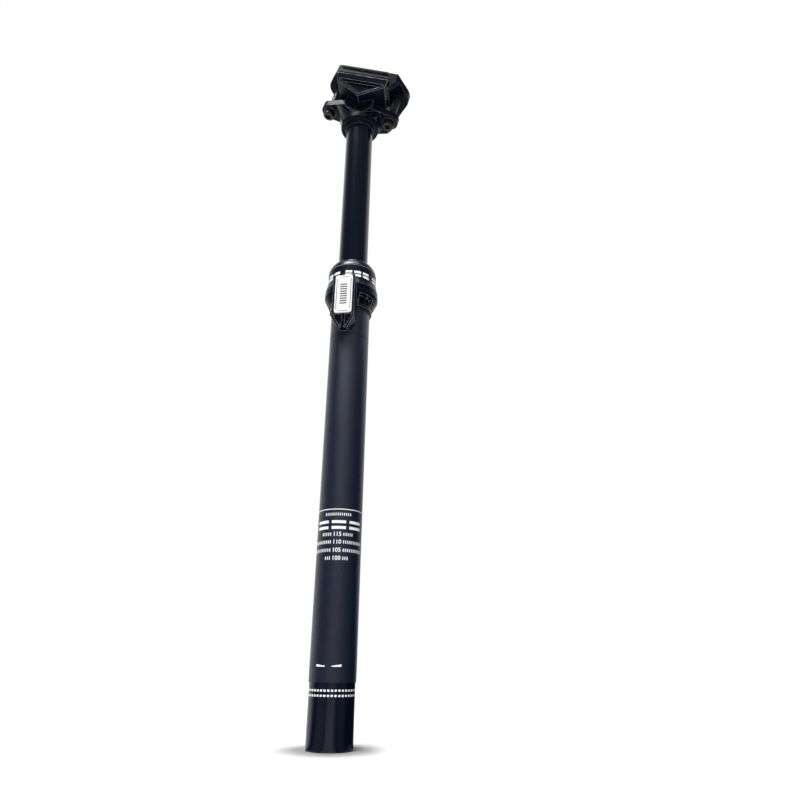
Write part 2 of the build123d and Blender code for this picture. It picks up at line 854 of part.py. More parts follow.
with BuildPart() as pull_wire:
    with BuildSketch(actuator_plan(lower_ball)):
        with Locations(wire_place):
            Circle(wire_radius)
    extrude(amount=upper_ball - lower_ball)
    with Locations(*(outward * wire_circle + Vector(0, 0, ball) for ball in (upper_ball, lower_ball))):
        Sphere(wire_ball)
pull_wire.part.label = "pull_wire"
export_step(pull_wire.part, "parts/pull_wire.step")

rocker_top = rocker_height - rocker_reach * tan(rocker_lean) + rocker_bar / 2 / cos(rocker_lean)
valve_foot = rocker_top + sliding_gap
valve_collar_low = valve_foot + valve_collar_rise
valve_collar_top = valve_collar_low + valve_collar_height

with BuildPart() as valve_pin:
    with BuildSketch(Plane.XZ):
        with BuildLine():
            Polyline(
                (0, valve_foot),
                (valve_radius / 2, valve_foot),
                (valve_radius, valve_foot + valve_radius / 2),
                (valve_radius, valve_collar_low),
                (valve_collar, valve_collar_low),
                (valve_collar, valve_collar_top),
                (valve_radius, valve_collar_top),
                (valve_radius, piston_top - valve_radius),
                (0, piston_top),
                close=True,
            )
        make_face()
    revolve(axis=Axis.Z)
valve_pin.part.label = "valve_pin"
export_step(valve_pin.part, "parts/valve_pin.step")

spring_bore = valve_radius + free_gap
ring("valve_spring", spring_bore + spring_wall, spring_bore, valve_collar_top, slot_top - valve_collar_top)

# Air valve in the top of the stanchion, under the clamp
plug_bottom = stanchion_top - plug_height
neck_top = stanchion_top + valve_neck_height

with BuildPart() as top_plug:
    with BuildSketch(Plane.XY.offset(plug_bottom)):
        Circle(stanchion_bore)
    extrude(amount=plug_height)
    with BuildSketch(Plane.XY.offset(stanchion_top)):
        Circle(valve_neck_radius)
    extrude(amount=valve_neck_height)
    with BuildSketch(Plane.XY.offset(plug_bottom)):
        Circle(valve_channel)
    extrude(amount=plug_height + valve_neck_height, mode=Mode.SUBTRACT)
top_plug.part.label = "top_plug"
export_step(top_plug.part, "parts/top_plug.step")

with BuildPart() as valve_core:
    with BuildSketch(Plane.XY.offset(neck_top - valve_core_length)):
        Circle(valve_channel)
    extrude(amount=valve_core_length)
valve_core.part.label = "valve_core"
export_step(valve_core.part, "parts/valve_core.step")

valve_cap_bottom = stanchion_top + valve_cap_rise

with BuildPart() as valve_cap:
    with BuildSketch(Plane.XY.offset(valve_cap_bottom)):
        Circle(valve_cap_radius)
    extrude(amount=valve_cap_height)
    with BuildSketch(Plane.XY.offset(valve_cap_bottom)):
        Circle(valve_neck_radius + running_gap)
    extrude(amount=neck_top - valve_cap_bottom + free_gap, mode=Mode.SUBTRACT)
    chamfer(valve_cap.faces().sort_by(Axis.Z)[-1].edges(), valve_cap_bevel)
valve_cap.part.label = "valve_cap"
export_step(valve_cap.part, "parts/valve_cap.step")


def lean_seat(forward, seat, plug, low):
    """The cylindrical seat that lets a bolt lean, cut to a round plan."""
    lean_axis = Plane(origin=clamp_point(forward, lean_height), x_dir=along, z_dir=-aside)
    roller = lean_axis * Cylinder(seat, 4 * plug)
    disc = clamp_plan(low, forward) * Cylinder(plug, seat, align=(Align.CENTER, Align.CENTER, Align.MIN))
    return roller & disc


# Saddle head: flange and socket on the stanchion, cross seat and two ears
gusset_reach = flange_radius - gusset_inset
gusset_rear = from_post(-gusset_reach, flange_top - gusset_inset)
gusset_front = from_post(gusset_reach, flange_top - gusset_inset)
ears = (bolt_half, -bolt_half)
ear_seats = [lean_seat(ear, washer_seat + sliding_gap, seat_plan_radius, washer_bottom) for ear in ears]

with BuildPart() as saddle_head:
    with BuildSketch(Plane.XY.offset(flange_bottom)):
        Circle(flange_radius)
    extrude(amount=flange_height)
    fillet(saddle_head.edges().filter_by(GeomType.CIRCLE), flange_fillet)
    with BuildSketch(Plane.XY.offset(flange_top - flange_fillet)):
        Circle(socket_radius)
    extrude(amount=socket_top - flange_top + flange_fillet)
    with BuildSketch(clamp_side):
        Circle(seat_radius)
    extrude(amount=seat_half, both=True)
    with BuildSketch(clamp_plan(ear_bottom)):
        with BuildLine():
            Polyline(
                (arm_root, -arm_half),
                (bolt_half, -ear_radius),
                (bolt_half, ear_radius),
                (arm_root, arm_half),
                (-arm_root, arm_half),
                (-bolt_half, ear_radius),
                (-bolt_half, -ear_radius),
                (-arm_root, -arm_half),
                close=True,
            )
        make_face()
        with Locations((bolt_half, 0), (-bolt_half, 0)):
            Circle(ear_radius)
    extrude(amount=ear_top - ear_bottom)
    with BuildSketch(clamp_side):
        with BuildLine():
            Polyline(
                (-bolt_half + ear_radius, ear_bottom),
                gusset_rear,
                gusset_front,
                (bolt_half - ear_radius, ear_bottom),
                (arm_root, 0),
                (-arm_root, 0),
                close=True,
            )
        make_face()
    extrude(amount=gusset_half, both=True)
    with BuildSketch(clamp_plan(ear_bottom)):
        with Locations((bolt_half, 0), (-bolt_half, 0)):
            Circle(ear_hole)
    extrude(amount=ear_top - ear_bottom + overrun, mode=Mode.SUBTRACT)
    add(ear_seats, mode=Mode.SUBTRACT)
    with BuildSketch(Plane.XY.offset(flange_bottom)):
        Circle(stanchion_radius)
    extrude(amount=stanchion_top - flange_bottom, mode=Mode.SUBTRACT)
    with BuildSketch(Plane.XY.offset(flange_bottom)):
        Circle(flange_recess_radius)
        Circle(flange_recess_inner, mode=Mode.SUBTRACT)
    extrude(amount=flange_recess, mode=Mode.SUBTRACT)
    with BuildSketch(Plane.XZ):
        with BuildLine():
            Polyline(
                (stanchion_radius, flange_bottom),
                (flange_recess_inner, flange_bottom),
                (stanchion_radius + stop_cone_wall, flange_bottom - stop_cone_height),
                (stanchion_radius, flange_bottom - stop_cone_height),
                close=True,
            )
        make_face()
    revolve(axis=Axis.Z)
    with BuildSketch(Plane.XY.offset(stanchion_top)):
        Circle(valve_bore)
    extrude(amount=seat_radius + stanchion_below_pivot + overrun, mode=Mode.SUBTRACT)
saddle_head.part.label = "saddle_head"
export_step(saddle_head.part, "parts/saddle_head.step")

# Lower cradle: arch over the cross seat with a ribbed, leaning cheek on each side
cradle_top = rail_over_pivot - clamp_split / 2
cradle_depth = cradle_top - cradle_apex
cheek_tilt = radians(cheek_lean)
cheek_stretch = 1 / cos(cheek_tilt)
cheek_foot = clamp_half_width - cradle_depth * tan(cheek_tilt)
pocket_drop = (cradle_top - rail_over_pivot + rail_radius + cradle_rim) * cheek_stretch
cradle_side = Plane(origin=clamp_point(0, cradle_top), x_dir=along, z_dir=-aside)
cradle_front = Plane(origin=clamp_point(0, cradle_top), x_dir=aside, z_dir=along)


def cheek_plane(side):
    """The leaning face of one cheek, hung from the cradle's top edge."""
    face = above * (side * sin(cheek_tilt)) - aside * cos(cheek_tilt)
    return Plane(origin=clamp_point(0, cradle_top, side * clamp_half_width), x_dir=along, z_dir=face)


def cradle_sketch(stretch):
    """The cradle's side outline below its top edge, stretched for a leaning face."""
    with BuildSketch(mode=Mode.PRIVATE) as outline:
        with BuildLine():
            Polyline(
                (-clamp_half_length, 0),
                (-clamp_half_length + cradle_rim, -cradle_end_height * stretch),
                (0, -cradle_depth * stretch),
                (clamp_half_length - cradle_rim, -cradle_end_height * stretch),
                (clamp_half_length, 0),
                close=True,
            )
        make_face()
    return outline.sketch


def cheek_pocket(rim):
    """The cheek's outline drawn in by a rim and closed below the rail groove."""
    with BuildSketch(mode=Mode.PRIVATE) as pocket:
        add(cradle_sketch(cheek_stretch))
        offset(amount=-rim, mode=Mode.REPLACE)
        with Locations((0, clamp_half_length - pocket_drop)):
            Rectangle(4 * clamp_half_length, 2 * clamp_half_length, mode=Mode.SUBTRACT)
    return pocket.sketch


rail_places = (-rail_half_spacing, rail_half_spacing)
rail_groove_length = 2 * (lobe_point + overrun)

with BuildPart() as lower_cradle:
    with BuildSketch(cradle_side):
        add(cradle_sketch(1))
    extrude(amount=clamp_half_width, both=True)
    with BuildSketch(cradle_front):
        with BuildLine():
            Polyline(
                (-clamp_half_width, 0),
                (clamp_half_width, 0),
                (cheek_foot, -cradle_depth),
                (-cheek_foot, -cradle_depth),
                close=True,
            )
        make_face()
    extrude(amount=clamp_half_length, both=True, mode=Mode.INTERSECT)
    with BuildSketch(clamp_side):
        Circle(seat_radius + seat_gap)
    extrude(amount=seat_half + seat_gap, both=True, mode=Mode.SUBTRACT)
    for side in (-1, 1):
        for rim, depth in ((cradle_rim, cradle_pocket), (cradle_rim + cradle_ledge, cradle_deep_pocket)):
            with BuildSketch(cheek_plane(side)):
                add(cheek_pocket(rim))
            extrude(amount=side * depth, mode=Mode.SUBTRACT)
        with BuildSketch(rail_plane(side * rail_half_spacing)):
            Circle(rail_radius)
        extrude(amount=rail_groove_length, mode=Mode.SUBTRACT)
    with BuildSketch(clamp_plan(seat_radius - overrun)):
        Circle(valve_access)
    extrude(amount=rail_over_pivot, mode=Mode.SUBTRACT)
lower_cradle.part.label = "lower_cradle"
export_step(lower_cradle.part, "parts/lower_cradle.step")

# Upper clamp: two channelled beams over the rails, joined by raised lobes
beam_bottom = rail_over_pivot + clamp_split / 2


def plan_outline():
    """The clamp's six-sided plan with rounded front and rear lobes."""
    with BuildSketch(mode=Mode.PRIVATE) as plan:
        with BuildLine():
            Polyline(
                (clamp_half_length, -clamp_half_width),
                (lobe_point, 0),
                (clamp_half_length, clamp_half_width),
                (-clamp_half_length, clamp_half_width),
                (-lobe_point, 0),
                (-clamp_half_length, -clamp_half_width),
                close=True,
            )
        make_face()
        fillet(plan.vertices().group_by(Axis.X)[0] + plan.vertices().group_by(Axis.X)[-1], lobe_fillet)
    return plan.sketch


with BuildPart() as upper_clamp:
    with BuildSketch(clamp_plan(plate_bottom)):
        Rectangle(2 * lobe_point, 2 * plate_half_width)
    extrude(amount=plate_top - plate_bottom)
    for side in (-1, 1):
        with BuildSketch(clamp_cheek(side * clamp_half_width)):
            with BuildLine():
                Polyline(
                    (-clamp_half_length, beam_bottom),
                    (clamp_half_length, beam_bottom),
                    (beam_top_half, beam_top),
                    (-beam_top_half, beam_top),
                    close=True,
                )
            make_face()
        extrude(amount=side * (clamp_half_width - beam_inner))
        for end in (-1, 1):
            with BuildSketch(clamp_cheek(side * plate_half_width)):
                with BuildLine():
                    Polyline(
                        (end * riser_foot, beam_bottom),
                        (end * clamp_half_length, beam_bottom),
                        (end * riser_reach, plate_bottom),
                        (end * riser_reach, plate_top),
                        (end * beam_top_half, plate_top),
                        (end * riser_foot, beam_top),
                        close=True,
                    )
                make_face()
            extrude(amount=side * (plate_half_width - riser_inner))
    with BuildSketch(clamp_plan(0)):
        add(plan_outline())
    extrude(amount=plate_top, mode=Mode.INTERSECT)
    with BuildSketch(clamp_plan(plate_bottom - overrun)):
        Ellipse(window_half_length, window_half_width)
    extrude(amount=plate_top - plate_bottom + 2 * overrun, mode=Mode.SUBTRACT)
    for side in (-1, 1):
        with BuildSketch(rail_plane(side * rail_half_spacing)):
            Circle(rail_radius)
        extrude(amount=rail_groove_length, mode=Mode.SUBTRACT)
        with BuildSketch(clamp_cheek(side * clamp_half_width)):
            with Locations((0, (beam_bottom + beam_top) / 2)):
                Rectangle(3 * clamp_half_length, beam_top - beam_bottom - 2 * beam_band)
        extrude(amount=side * beam_channel, mode=Mode.SUBTRACT)
    with BuildSketch(clamp_plan(plate_bottom - overrun)):
        with Locations((bolt_half, 0), (-bolt_half, 0)):
            SlotOverall(2 * bolt_slot_half, 2 * bolt_slot_width)
    extrude(amount=plate_top - plate_bottom + 2 * overrun, mode=Mode.SUBTRACT)
    with BuildSketch(clamp_side):
        with Locations((bolt_half, nut_height_over_pivot), (-bolt_half, nut_height_over_pivot)):
            Circle(barrel_radius + running_gap)
    extrude(amount=barrel_half + running_gap, both=True, mode=Mode.SUBTRACT)
upper_clamp.part.label = "upper_clamp"
export_step(upper_clamp.part, "parts/upper_clamp.step")


def clamp_hardware(prefix, forward):
    """The barrel nut, leaning washer and socket bolt at one end of the clamp."""
    with BuildPart() as barrel_nut:
        with BuildSketch(clamp_side):
            with Locations((forward, nut_height_over_pivot)):
                Circle(barrel_radius)
        extrude(amount=barrel_half, both=True)
        chamfer(barrel_nut.edges().filter_by(GeomType.CIRCLE), barrel_bevel)
        with BuildSketch(clamp_plan(nut_height_over_pivot - 2 * barrel_radius, forward)):
            Circle(bolt_radius + thread_gap)
        extrude(amount=4 * barrel_radius, mode=Mode.SUBTRACT)
    barrel_nut.part.label = f"{prefix}_barrel_nut"
    export_step(barrel_nut.part, f"parts/{prefix}_barrel_nut.step")

    seat = lean_seat(forward, washer_seat, washer_radius, washer_bottom)
    with BuildPart() as washer:
        add(seat)
        with BuildSketch(clamp_plan(washer_bottom - overrun, forward)):
            Circle(bolt_radius + running_gap)
        extrude(amount=washer_seat, mode=Mode.SUBTRACT)
    washer.part.label = f"{prefix}_washer"
    export_step(washer.part, f"parts/{prefix}_washer.step")

    with BuildPart() as bolt:
        with BuildSketch(clamp_plan(washer_bottom - bolt_head_height, forward)):
            Circle(bolt_head_radius)
        extrude(amount=bolt_head_height)
        chamfer(bolt.faces().sort_by(Axis.Z)[0].edges(), bolt_bevel)
        with BuildSketch(clamp_plan(washer_bottom, forward)):
            Circle(bolt_radius)
        extrude(amount=bolt_end - washer_bottom)
        with BuildSketch(clamp_plan(washer_bottom - bolt_head_height, forward)):
            RegularPolygon(hex_width / 2, 6, major_radius=False)
        extrude(amount=hex_depth, mode=Mode.SUBTRACT)
    bolt.part.label = f"{prefix}_bolt"
    export_step(bolt.part, f"parts/{prefix}_bolt.step")


clamp_hardware("front", bolt_half)
clamp_hardware("rear", -bolt_half)

# What the joints and mounts of this post measure
lean_share = nut_height_over_pivot / (nut_height_over_pivot - lean_height)
valve_lift = 2 * rocker_reach * sin(rocker_lean)
measures = {
    "rail height on the post's axis": rail_height,
    "height of the clamp's pivot": pivot_height,
    "bolt lean per clamp tilt": lean_share,
    "height of the lever's pivot": lever_height,
    "travel of the pull wire": wire_travel,
    "turn of the rocker, degrees": degrees(2 * rocker_lean),
    "lift of the valve pin": valve_lift,
    "floating piston travel per post travel": floating_share,
}
for title, value in measures.items():
    print(f"{title}: {value:.5f}")
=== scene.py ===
"""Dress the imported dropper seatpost: finishes, printed scales, fine machined detail, studio and camera."""

from __future__ import annotations

import json
import logging
import math
from dataclasses import dataclass
from enum import Enum
from typing import Any, Callable, Iterable, Sequence

import bmesh
import bpy
from mathutils import Matrix, Vector

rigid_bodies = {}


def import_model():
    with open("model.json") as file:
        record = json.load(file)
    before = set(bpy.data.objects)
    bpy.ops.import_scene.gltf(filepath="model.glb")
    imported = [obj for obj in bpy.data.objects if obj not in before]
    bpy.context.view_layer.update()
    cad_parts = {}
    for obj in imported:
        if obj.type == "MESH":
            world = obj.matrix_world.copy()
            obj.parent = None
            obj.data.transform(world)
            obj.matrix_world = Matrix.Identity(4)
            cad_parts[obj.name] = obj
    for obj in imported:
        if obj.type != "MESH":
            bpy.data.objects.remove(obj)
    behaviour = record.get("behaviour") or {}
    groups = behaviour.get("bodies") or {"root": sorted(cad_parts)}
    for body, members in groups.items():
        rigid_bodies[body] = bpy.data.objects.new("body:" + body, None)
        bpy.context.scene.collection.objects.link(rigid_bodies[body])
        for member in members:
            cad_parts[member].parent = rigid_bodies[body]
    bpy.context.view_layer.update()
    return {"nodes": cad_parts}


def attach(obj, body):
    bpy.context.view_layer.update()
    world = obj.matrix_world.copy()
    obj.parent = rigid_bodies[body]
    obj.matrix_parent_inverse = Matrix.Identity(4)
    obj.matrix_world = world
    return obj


LOG = logging.getLogger("seatpost")
MM = 0.001
Point = tuple[float, float, float]
Tree = bpy.types.NodeTree
Socket = bpy.types.NodeSocket
Object = bpy.types.Object
Mesh = bpy.types.Mesh
Node = bpy.types.Node
Nodes = dict[str, Object]

# In millimetres: clouds in a dye, the facets of a bent film, and the gap between a full ring's ends.
MOTTLE, SEGMENT, RING_GAP = 9.0, 0.6, 0.05
# In metres: points this near are one, and nearer than this the camera sees nothing.
WELD, NEAREST_SEEN = 1e-7, 0.005
# How finely round things are drawn: a turn of thread, its ridge's section, and a rib.
THREAD_POINTS, RIDGE_CORNERS, RIB_POINTS = 32, 4, 18
LEAST_ROUGHNESS = 0.02
BEVEL_RAYS = 6
# How alike the rounded and the flat normal are where the edges' lightening starts, and where it is full:
# partly rubbing, partly painted highlight.
WEAR_AND_HIGHLIGHT_STARTS, WEAR_AND_HIGHLIGHT_FULL = 0.98, 0.78
# Height of a digit in Blender's own font, as a share of the text size.
DIGIT_SHARE = 0.7
# Rays that look for a surface start this many radii out.
RAY_REACH = 3.0


def linear(hex_colour: str) -> tuple[float, float, float, float]:
    """Turn an sRGB hex colour into linear RGBA.

    Args:
        hex_colour: Six hex digits with a leading #.

    Returns:
        Red, green, blue and alpha, each from 0 to 1.
    """
    parts = (int(hex_colour[i : i + 2], 16) / 255 for i in (1, 3, 5))
    red, green, blue = (c / 12.92 if c <= 0.04045 else ((c + 0.055) / 1.055) ** 2.4 for c in parts)
    return (red, green, blue, 1.0)


def grey(level: float) -> tuple[float, float, float, float]:
    """Turn a linear level into an opaque grey."""
    return (level, level, level, 1.0)


def add_node(tree: Tree, kind: str, inputs: dict | None = None, **settings: Any) -> Node:
    """Add a node with its settings and links.

    Args:
        tree: The tree that gets the node.
        kind: Blender's name of the node type.
        inputs: Socket name or index to a value, or to the socket that feeds it.
        **settings: Properties of the node itself.

    Returns:
        The new node.
    """
    node = tree.nodes.new(kind)
    for name, value in settings.items():
        setattr(node, name, value)
    for key, value in (inputs or {}).items():
        if isinstance(value, Socket):
            tree.links.new(value, node.inputs[key])
        else:
            node.inputs[key].default_value = value
    return node


def empty_tree(owner: bpy.types.Material | bpy.types.World) -> Tree:
    """Turn on the nodes of a material or a world and clear them."""
    owner.use_nodes = True
    owner.node_tree.nodes.clear()
    return owner.node_tree


def add_object(name: str, data: bpy.types.ID) -> Object:
    """Put a new object with this data into the scene."""
    made = bpy.data.objects.new(name, data)
    bpy.context.scene.collection.objects.link(made)
    return made


class Pattern(Enum):
    """How a surface was made, with the scale of its lines or grains along X, Y and Z."""

    BLASTED = (1.0, 1.0, 1.0)
    TURNED = (0.02, 0.02, 1.0)
    BRUSHED = (1.0, 1.0, 0.03)
    SMOOTH = (0.35, 0.35, 0.35)


@dataclass(frozen=True)
class Finish:
    """A real material: its colours, gloss and the marks of its making.

    drawn_mm is the spacing at which its grains or lines are drawn, coarser than the
    real one where that is too fine to show. edge_mm is the rounding of its edges, and the
    edge share is how far their colour turns to the edge colour: a lightening that is partly
    rubbing and partly painted highlight. gloss is the specular level: 0.5 is a plain surface,
    and the other levels are matched to the photograph.
    """

    name: str
    colour: str
    second_colour: str
    roughness: float
    roughness_swing: float = 0.04
    metallic: float = 0.0
    pattern: Pattern = Pattern.SMOOTH
    drawn_mm: float = 0.4
    relief: float = 0.05
    edge_mm: float = 0.0
    edge_colour: str = "#8a8d92"
    edge_share: float = 0.0
    gloss: float = 0.5

    def material(self) -> bpy.types.Material:
        """Build this finish once and return its material."""
        known = bpy.data.materials.get(self.name)
        if known:
            return known
        made = bpy.data.materials.new(self.name)
        tree = empty_tree(made)
        place = add_node(tree, "ShaderNodeTexCoord").outputs["Object"]
        lines = self._lines(tree, place)
        cloud = {"Vector": place, "Scale": 1 / (MOTTLE * MM), "Detail": 3.0}
        mottle = add_node(tree, "ShaderNodeTexNoise", cloud).outputs["Fac"]
        blend = add_node(tree, "ShaderNodeMath", {0: lines, 1: mottle}, operation="MULTIPLY")
        dyes = {"Factor": blend.outputs[0], "A": linear(self.colour), "B": linear(self.second_colour)}
        colour = add_node(tree, "ShaderNodeMix", dyes, data_type="RGBA").outputs["Result"]
        finest = max(LEAST_ROUGHNESS, self.roughness - self.roughness_swing)
        span = {"Value": lines, "To Min": finest, "To Max": self.roughness + self.roughness_swing}
        rough = add_node(tree, "ShaderNodeMapRange", span).outputs["Result"]
        sheen = {"Roughness": rough, "Metallic": self.metallic, "Specular IOR Level": self.gloss}
        shader = add_node(tree, "ShaderNodeBsdfPrincipled", sheen)
        normal = None
        # Edges get rounded normals and a lighter colour, partly rubbing and partly painted highlight.
        if self.edge_mm:
            normal, colour = self._edges(tree, colour)
        tree.links.new(colour, shader.inputs["Base Color"])
        depth = {"Height": lines, "Strength": self.relief, "Distance": self.drawn_mm * MM}
        bump = add_node(tree, "ShaderNodeBump", depth)
        if normal:
            tree.links.new(normal, bump.inputs["Normal"])
        tree.links.new(bump.outputs["Normal"], shader.inputs["Normal"])
        add_node(tree, "ShaderNodeOutputMaterial", {"Surface": shader.outputs["BSDF"]})
        return made

    def _lines(self, tree: Tree, place: Socket) -> Socket:
        """Make the height pattern of the surface, from 0 to 1.

        Args:
            tree: The material's tree.
            place: Object coordinates.

        Returns:
            The socket that carries the pattern.
        """
        mapped = add_node(tree, "ShaderNodeMapping", {"Vector": place, "Scale": self.pattern.value})
        noise = add_node(
            tree,
            "ShaderNodeTexNoise",
            {"Vector": mapped.outputs[0], "Scale": 1 / (self.drawn_mm * MM), "Detail": 2.0, "Roughness": 0.6},
        )
        return noise.outputs["Fac"]

    def _edges(self, tree: Tree, colour: Socket) -> tuple[Socket, Socket]:
        """Round the edges for the light, and lighten their colour: partly rubbing, partly painted highlight.

        Args:
            tree: The material's tree.
            colour: The socket of the surface's colour.

        Returns:
            The rounded normal and the colour with its worn edges.
        """
        bevel = add_node(tree, "ShaderNodeBevel", {"Radius": self.edge_mm * MM}, samples=BEVEL_RAYS)
        rounded = bevel.outputs["Normal"]
        flat = add_node(tree, "ShaderNodeNewGeometry").outputs["Normal"]
        likeness = add_node(tree, "ShaderNodeVectorMath", {0: rounded, 1: flat}, operation="DOT_PRODUCT")
        # Painted highlight, partly rubbing: the colour turns lighter where the rounded normal leaves the flat
        # one.
        wear_and_highlight_span = {"Value": likeness.outputs["Value"], "From Min": WEAR_AND_HIGHLIGHT_STARTS, "From Max": WEAR_AND_HIGHLIGHT_FULL}
        rubbed_and_lit = add_node(tree, "ShaderNodeMapRange", wear_and_highlight_span | {"To Max": self.edge_share})
        layer = {"Factor": rubbed_and_lit.outputs["Result"], "A": colour, "B": linear(self.edge_colour)}
        return rounded, add_node(tree, "ShaderNodeMix", layer, data_type="RGBA").outputs["Result"]


# Bead-blasted aluminium, dyed black: a soft broad sheen over a fine even grain.
BLASTED_TUBE = Finish(
    "bead_blasted_black_anodised_aluminium", "#060f25", "#0f1b36", 0.3, 0.06, 0.0, Pattern.BLASTED, 0.5, 0.5,
    gloss=0.7,
)
# Hard anodising over ground aluminium: nearly black and glossy, with faint rings from grinding.
GROUND_STANCHION = Finish(
    "hard_anodised_ground_aluminium", "#040a18", "#0a1122", 0.14, 0.03, 0.0, Pattern.TURNED, 0.5, 0.02,
    gloss=0.4,
)
# Polished aluminium, dyed black: a dark mirror with a fine grain.
POLISHED_CAP = Finish(
    "polished_black_anodised_aluminium", "#040919", "#0a1124", 0.1, 0.04, 0.0, Pattern.BLASTED, 0.4, 0.08
)
# Turned aluminium, dyed black: semi-gloss with rings around the post. Its edges are lightened, partly rubbing
# and partly painted highlight.
TURNED_COLLAR = Finish(
    "turned_black_anodised_aluminium", "#050a1a", "#0b1226", 0.27, 0.05, 0.0, Pattern.TURNED, 0.35, 0.06,
    edge_mm=0.5, edge_colour="#a4a9b3", edge_share=0.5, gloss=0.25,
)
# Machined and blasted aluminium, dyed black: flat blue-grey faces with bright thin edges, partly rubbing and
# partly painted highlight.
MACHINED_BLACK = Finish(
    "machined_black_anodised_aluminium", "#040812", "#0a111f", 0.2, 0.05, 0.0, Pattern.BLASTED, 0.3, 0.1,
    edge_mm=0.25, edge_colour="#c8cdd6", edge_share=0.45, gloss=0.06,
)
# The same metal with brighter, wider edges, partly rubbing and partly painted highlight.
EDGE_WEAR_AND_HIGHLIGHT_BLACK = Finish(
    "black_anodised_aluminium_edge_wear_and_highlight", "#040812", "#0a1120", 0.2, 0.05, 0.0, Pattern.BLASTED, 0.3, 0.1,
    edge_mm=0.45, edge_colour="#d2d6de", edge_share=0.8, gloss=0.14,
)
# Forged aluminium, blasted and dyed black: softer than the machined pieces. Its edges are lightened, partly
# rubbing and partly painted highlight.
FORGED_HEAD = Finish(
    "forged_black_anodised_aluminium", "#050912", "#0b1220", 0.24, 0.05, 0.0, Pattern.BLASTED, 0.4, 0.14,
    edge_mm=0.5, edge_colour="#b4b9c2", edge_share=0.4, gloss=0.1,
)
# A painted highlight: a grey line with a soft shine that stands in for the light caught by a turned edge.
PAINTED_HIGHLIGHT_GREY = Finish(
    "painted_highlight_grey_line", "#80868f", "#989da6", 0.4, 0.04, 0.0, Pattern.TURNED, 0.3, 0.04
)
# Steel blackened by oxide: dark grey metal, its edges lightened where a key or a spanner rubs them, and
# partly a painted highlight there.
OXIDE_STEEL = Finish(
    "black_oxide_steel", "#1d1e22", "#2a2b30", 0.3, 0.05, 0.7, Pattern.TURNED, 0.3, 0.05,
    edge_mm=0.4, edge_colour="#d6d8dc", edge_share=0.9,
)
# Metal plate under satin silver lacquer: near-white, with fine upright lines. Its edges turn white, partly
# rubbing and partly painted highlight.
SILVER_PLATE = Finish(
    "satin_silver_lacquered_plate", "#efedee", "#fbfafa", 0.34, 0.05, 0.15, Pattern.BRUSHED, 0.25, 0.05,
    edge_mm=0.25, edge_colour="#ffffff", edge_share=0.5,
)
# Stainless steel, ground: bright grey metal with fine lines.
GROUND_STEEL = Finish(
    "ground_stainless_steel", "#b4b5b8", "#cfd0d3", 0.28, 0.05, 1.0, Pattern.TURNED, 0.3, 0.05
)
# Hard chromed and polished rod: a clear mirror.
CHROMED_ROD = Finish("hard_chromed_steel", "#d6d7da", "#e6e7ea", 0.08, 0.02, 1.0, Pattern.TURNED, 0.6, 0.02)
# Turned aluminium with no dye: pale metal with lathe rings.
BARE_ALLOY = Finish(
    "turned_bare_aluminium", "#c2c3c6", "#dadbdd", 0.34, 0.06, 1.0, Pattern.TURNED, 0.35, 0.08
)
# Turned brass: warm yellow metal.
TURNED_BRASS = Finish("turned_brass", "#b8934a", "#cfae66", 0.3, 0.06, 1.0, Pattern.TURNED, 0.3, 0.06)
# Nitrile rubber, moulded: deep black with a soft sheen.
NITRILE = Finish("moulded_nitrile_rubber", "#0b0c0f", "#15161a", 0.5, 0.08, 0.0, Pattern.SMOOTH, 0.5, 0.1)
# Filled acetal, moulded: dull grey-green plastic.
ACETAL = Finish("moulded_filled_acetal", "#4a5049", "#5a6159", 0.5, 0.06, 0.0, Pattern.SMOOTH, 0.6, 0.05)
# Natural nylon, moulded: waxy off-white plastic.
NYLON = Finish("moulded_natural_nylon", "#d9d5c6", "#e6e3d7", 0.45, 0.05, 0.0, Pattern.SMOOTH, 0.6, 0.05)
# Pad-printed ink: flat white with a slightly uneven film.
WHITE_INK = Finish("pad_printed_white_ink", "#f0f2f4", "#fafbfc", 0.5, 0.08, 0.0, Pattern.SMOOTH, 0.3, 0.05)
# Black paint that fills an engraved line.
BLACK_FILL = Finish("black_paint_fill", "#0c0d10", "#16171b", 0.5, 0.06, 0.0, Pattern.SMOOTH, 0.3, 0.05)

FINISHED_NODES: Sequence[tuple[Finish, str]] = (
    (BLASTED_TUBE, "outer_tube"),
    (GROUND_STANCHION, "stanchion"),
    (POLISHED_CAP, "bottom_cap"),
    (TURNED_COLLAR, "collar_nut"),
    (EDGE_WEAR_AND_HIGHLIGHT_BLACK, "actuator_housing lower_cradle"),
    (SILVER_PLATE, "badge_plate"),
    (FORGED_HEAD, "saddle_head"),
    (MACHINED_BLACK, "upper_clamp"),
    (OXIDE_STEEL, "front_bolt front_washer front_barrel_nut collar_screw"),
    (OXIDE_STEEL, "rear_bolt rear_washer rear_barrel_nut"),
    (NITRILE, "wiper_seal cap_seal piston_seal floating_seal rod_seal topout_bumper"),
    (ACETAL, "glide_ring upper_bushing"),
    (NYLON, "clutch_cage"),
    (GROUND_STEEL, "clutch_rollers actuator_lever lever_pin cable_clamp_screw pull_wire"),
    (GROUND_STEEL, "bottom_rocker rocker_pin valve_pin valve_spring"),
    (CHROMED_ROD, "damper_rod"),
    (BARE_ALLOY, "main_piston floating_piston seal_head rod_anchor top_plug valve_cap"),
    (TURNED_BRASS, "valve_core alignment_keys"),
)
NODE_FINISHES = {name: finish for finish, names in FINISHED_NODES for name in names.split()}


def dress_nodes(nodes: Nodes) -> None:
    """Give every CAD node its finish.

    Args:
        nodes: CAD node name to its object.
    """
    for name, piece in sorted(nodes.items()):
        finish = NODE_FINISHES[name]
        piece.data.materials.clear()
        piece.data.materials.append(finish.material())
        LOG.info("node %s has %s", name, finish.name)


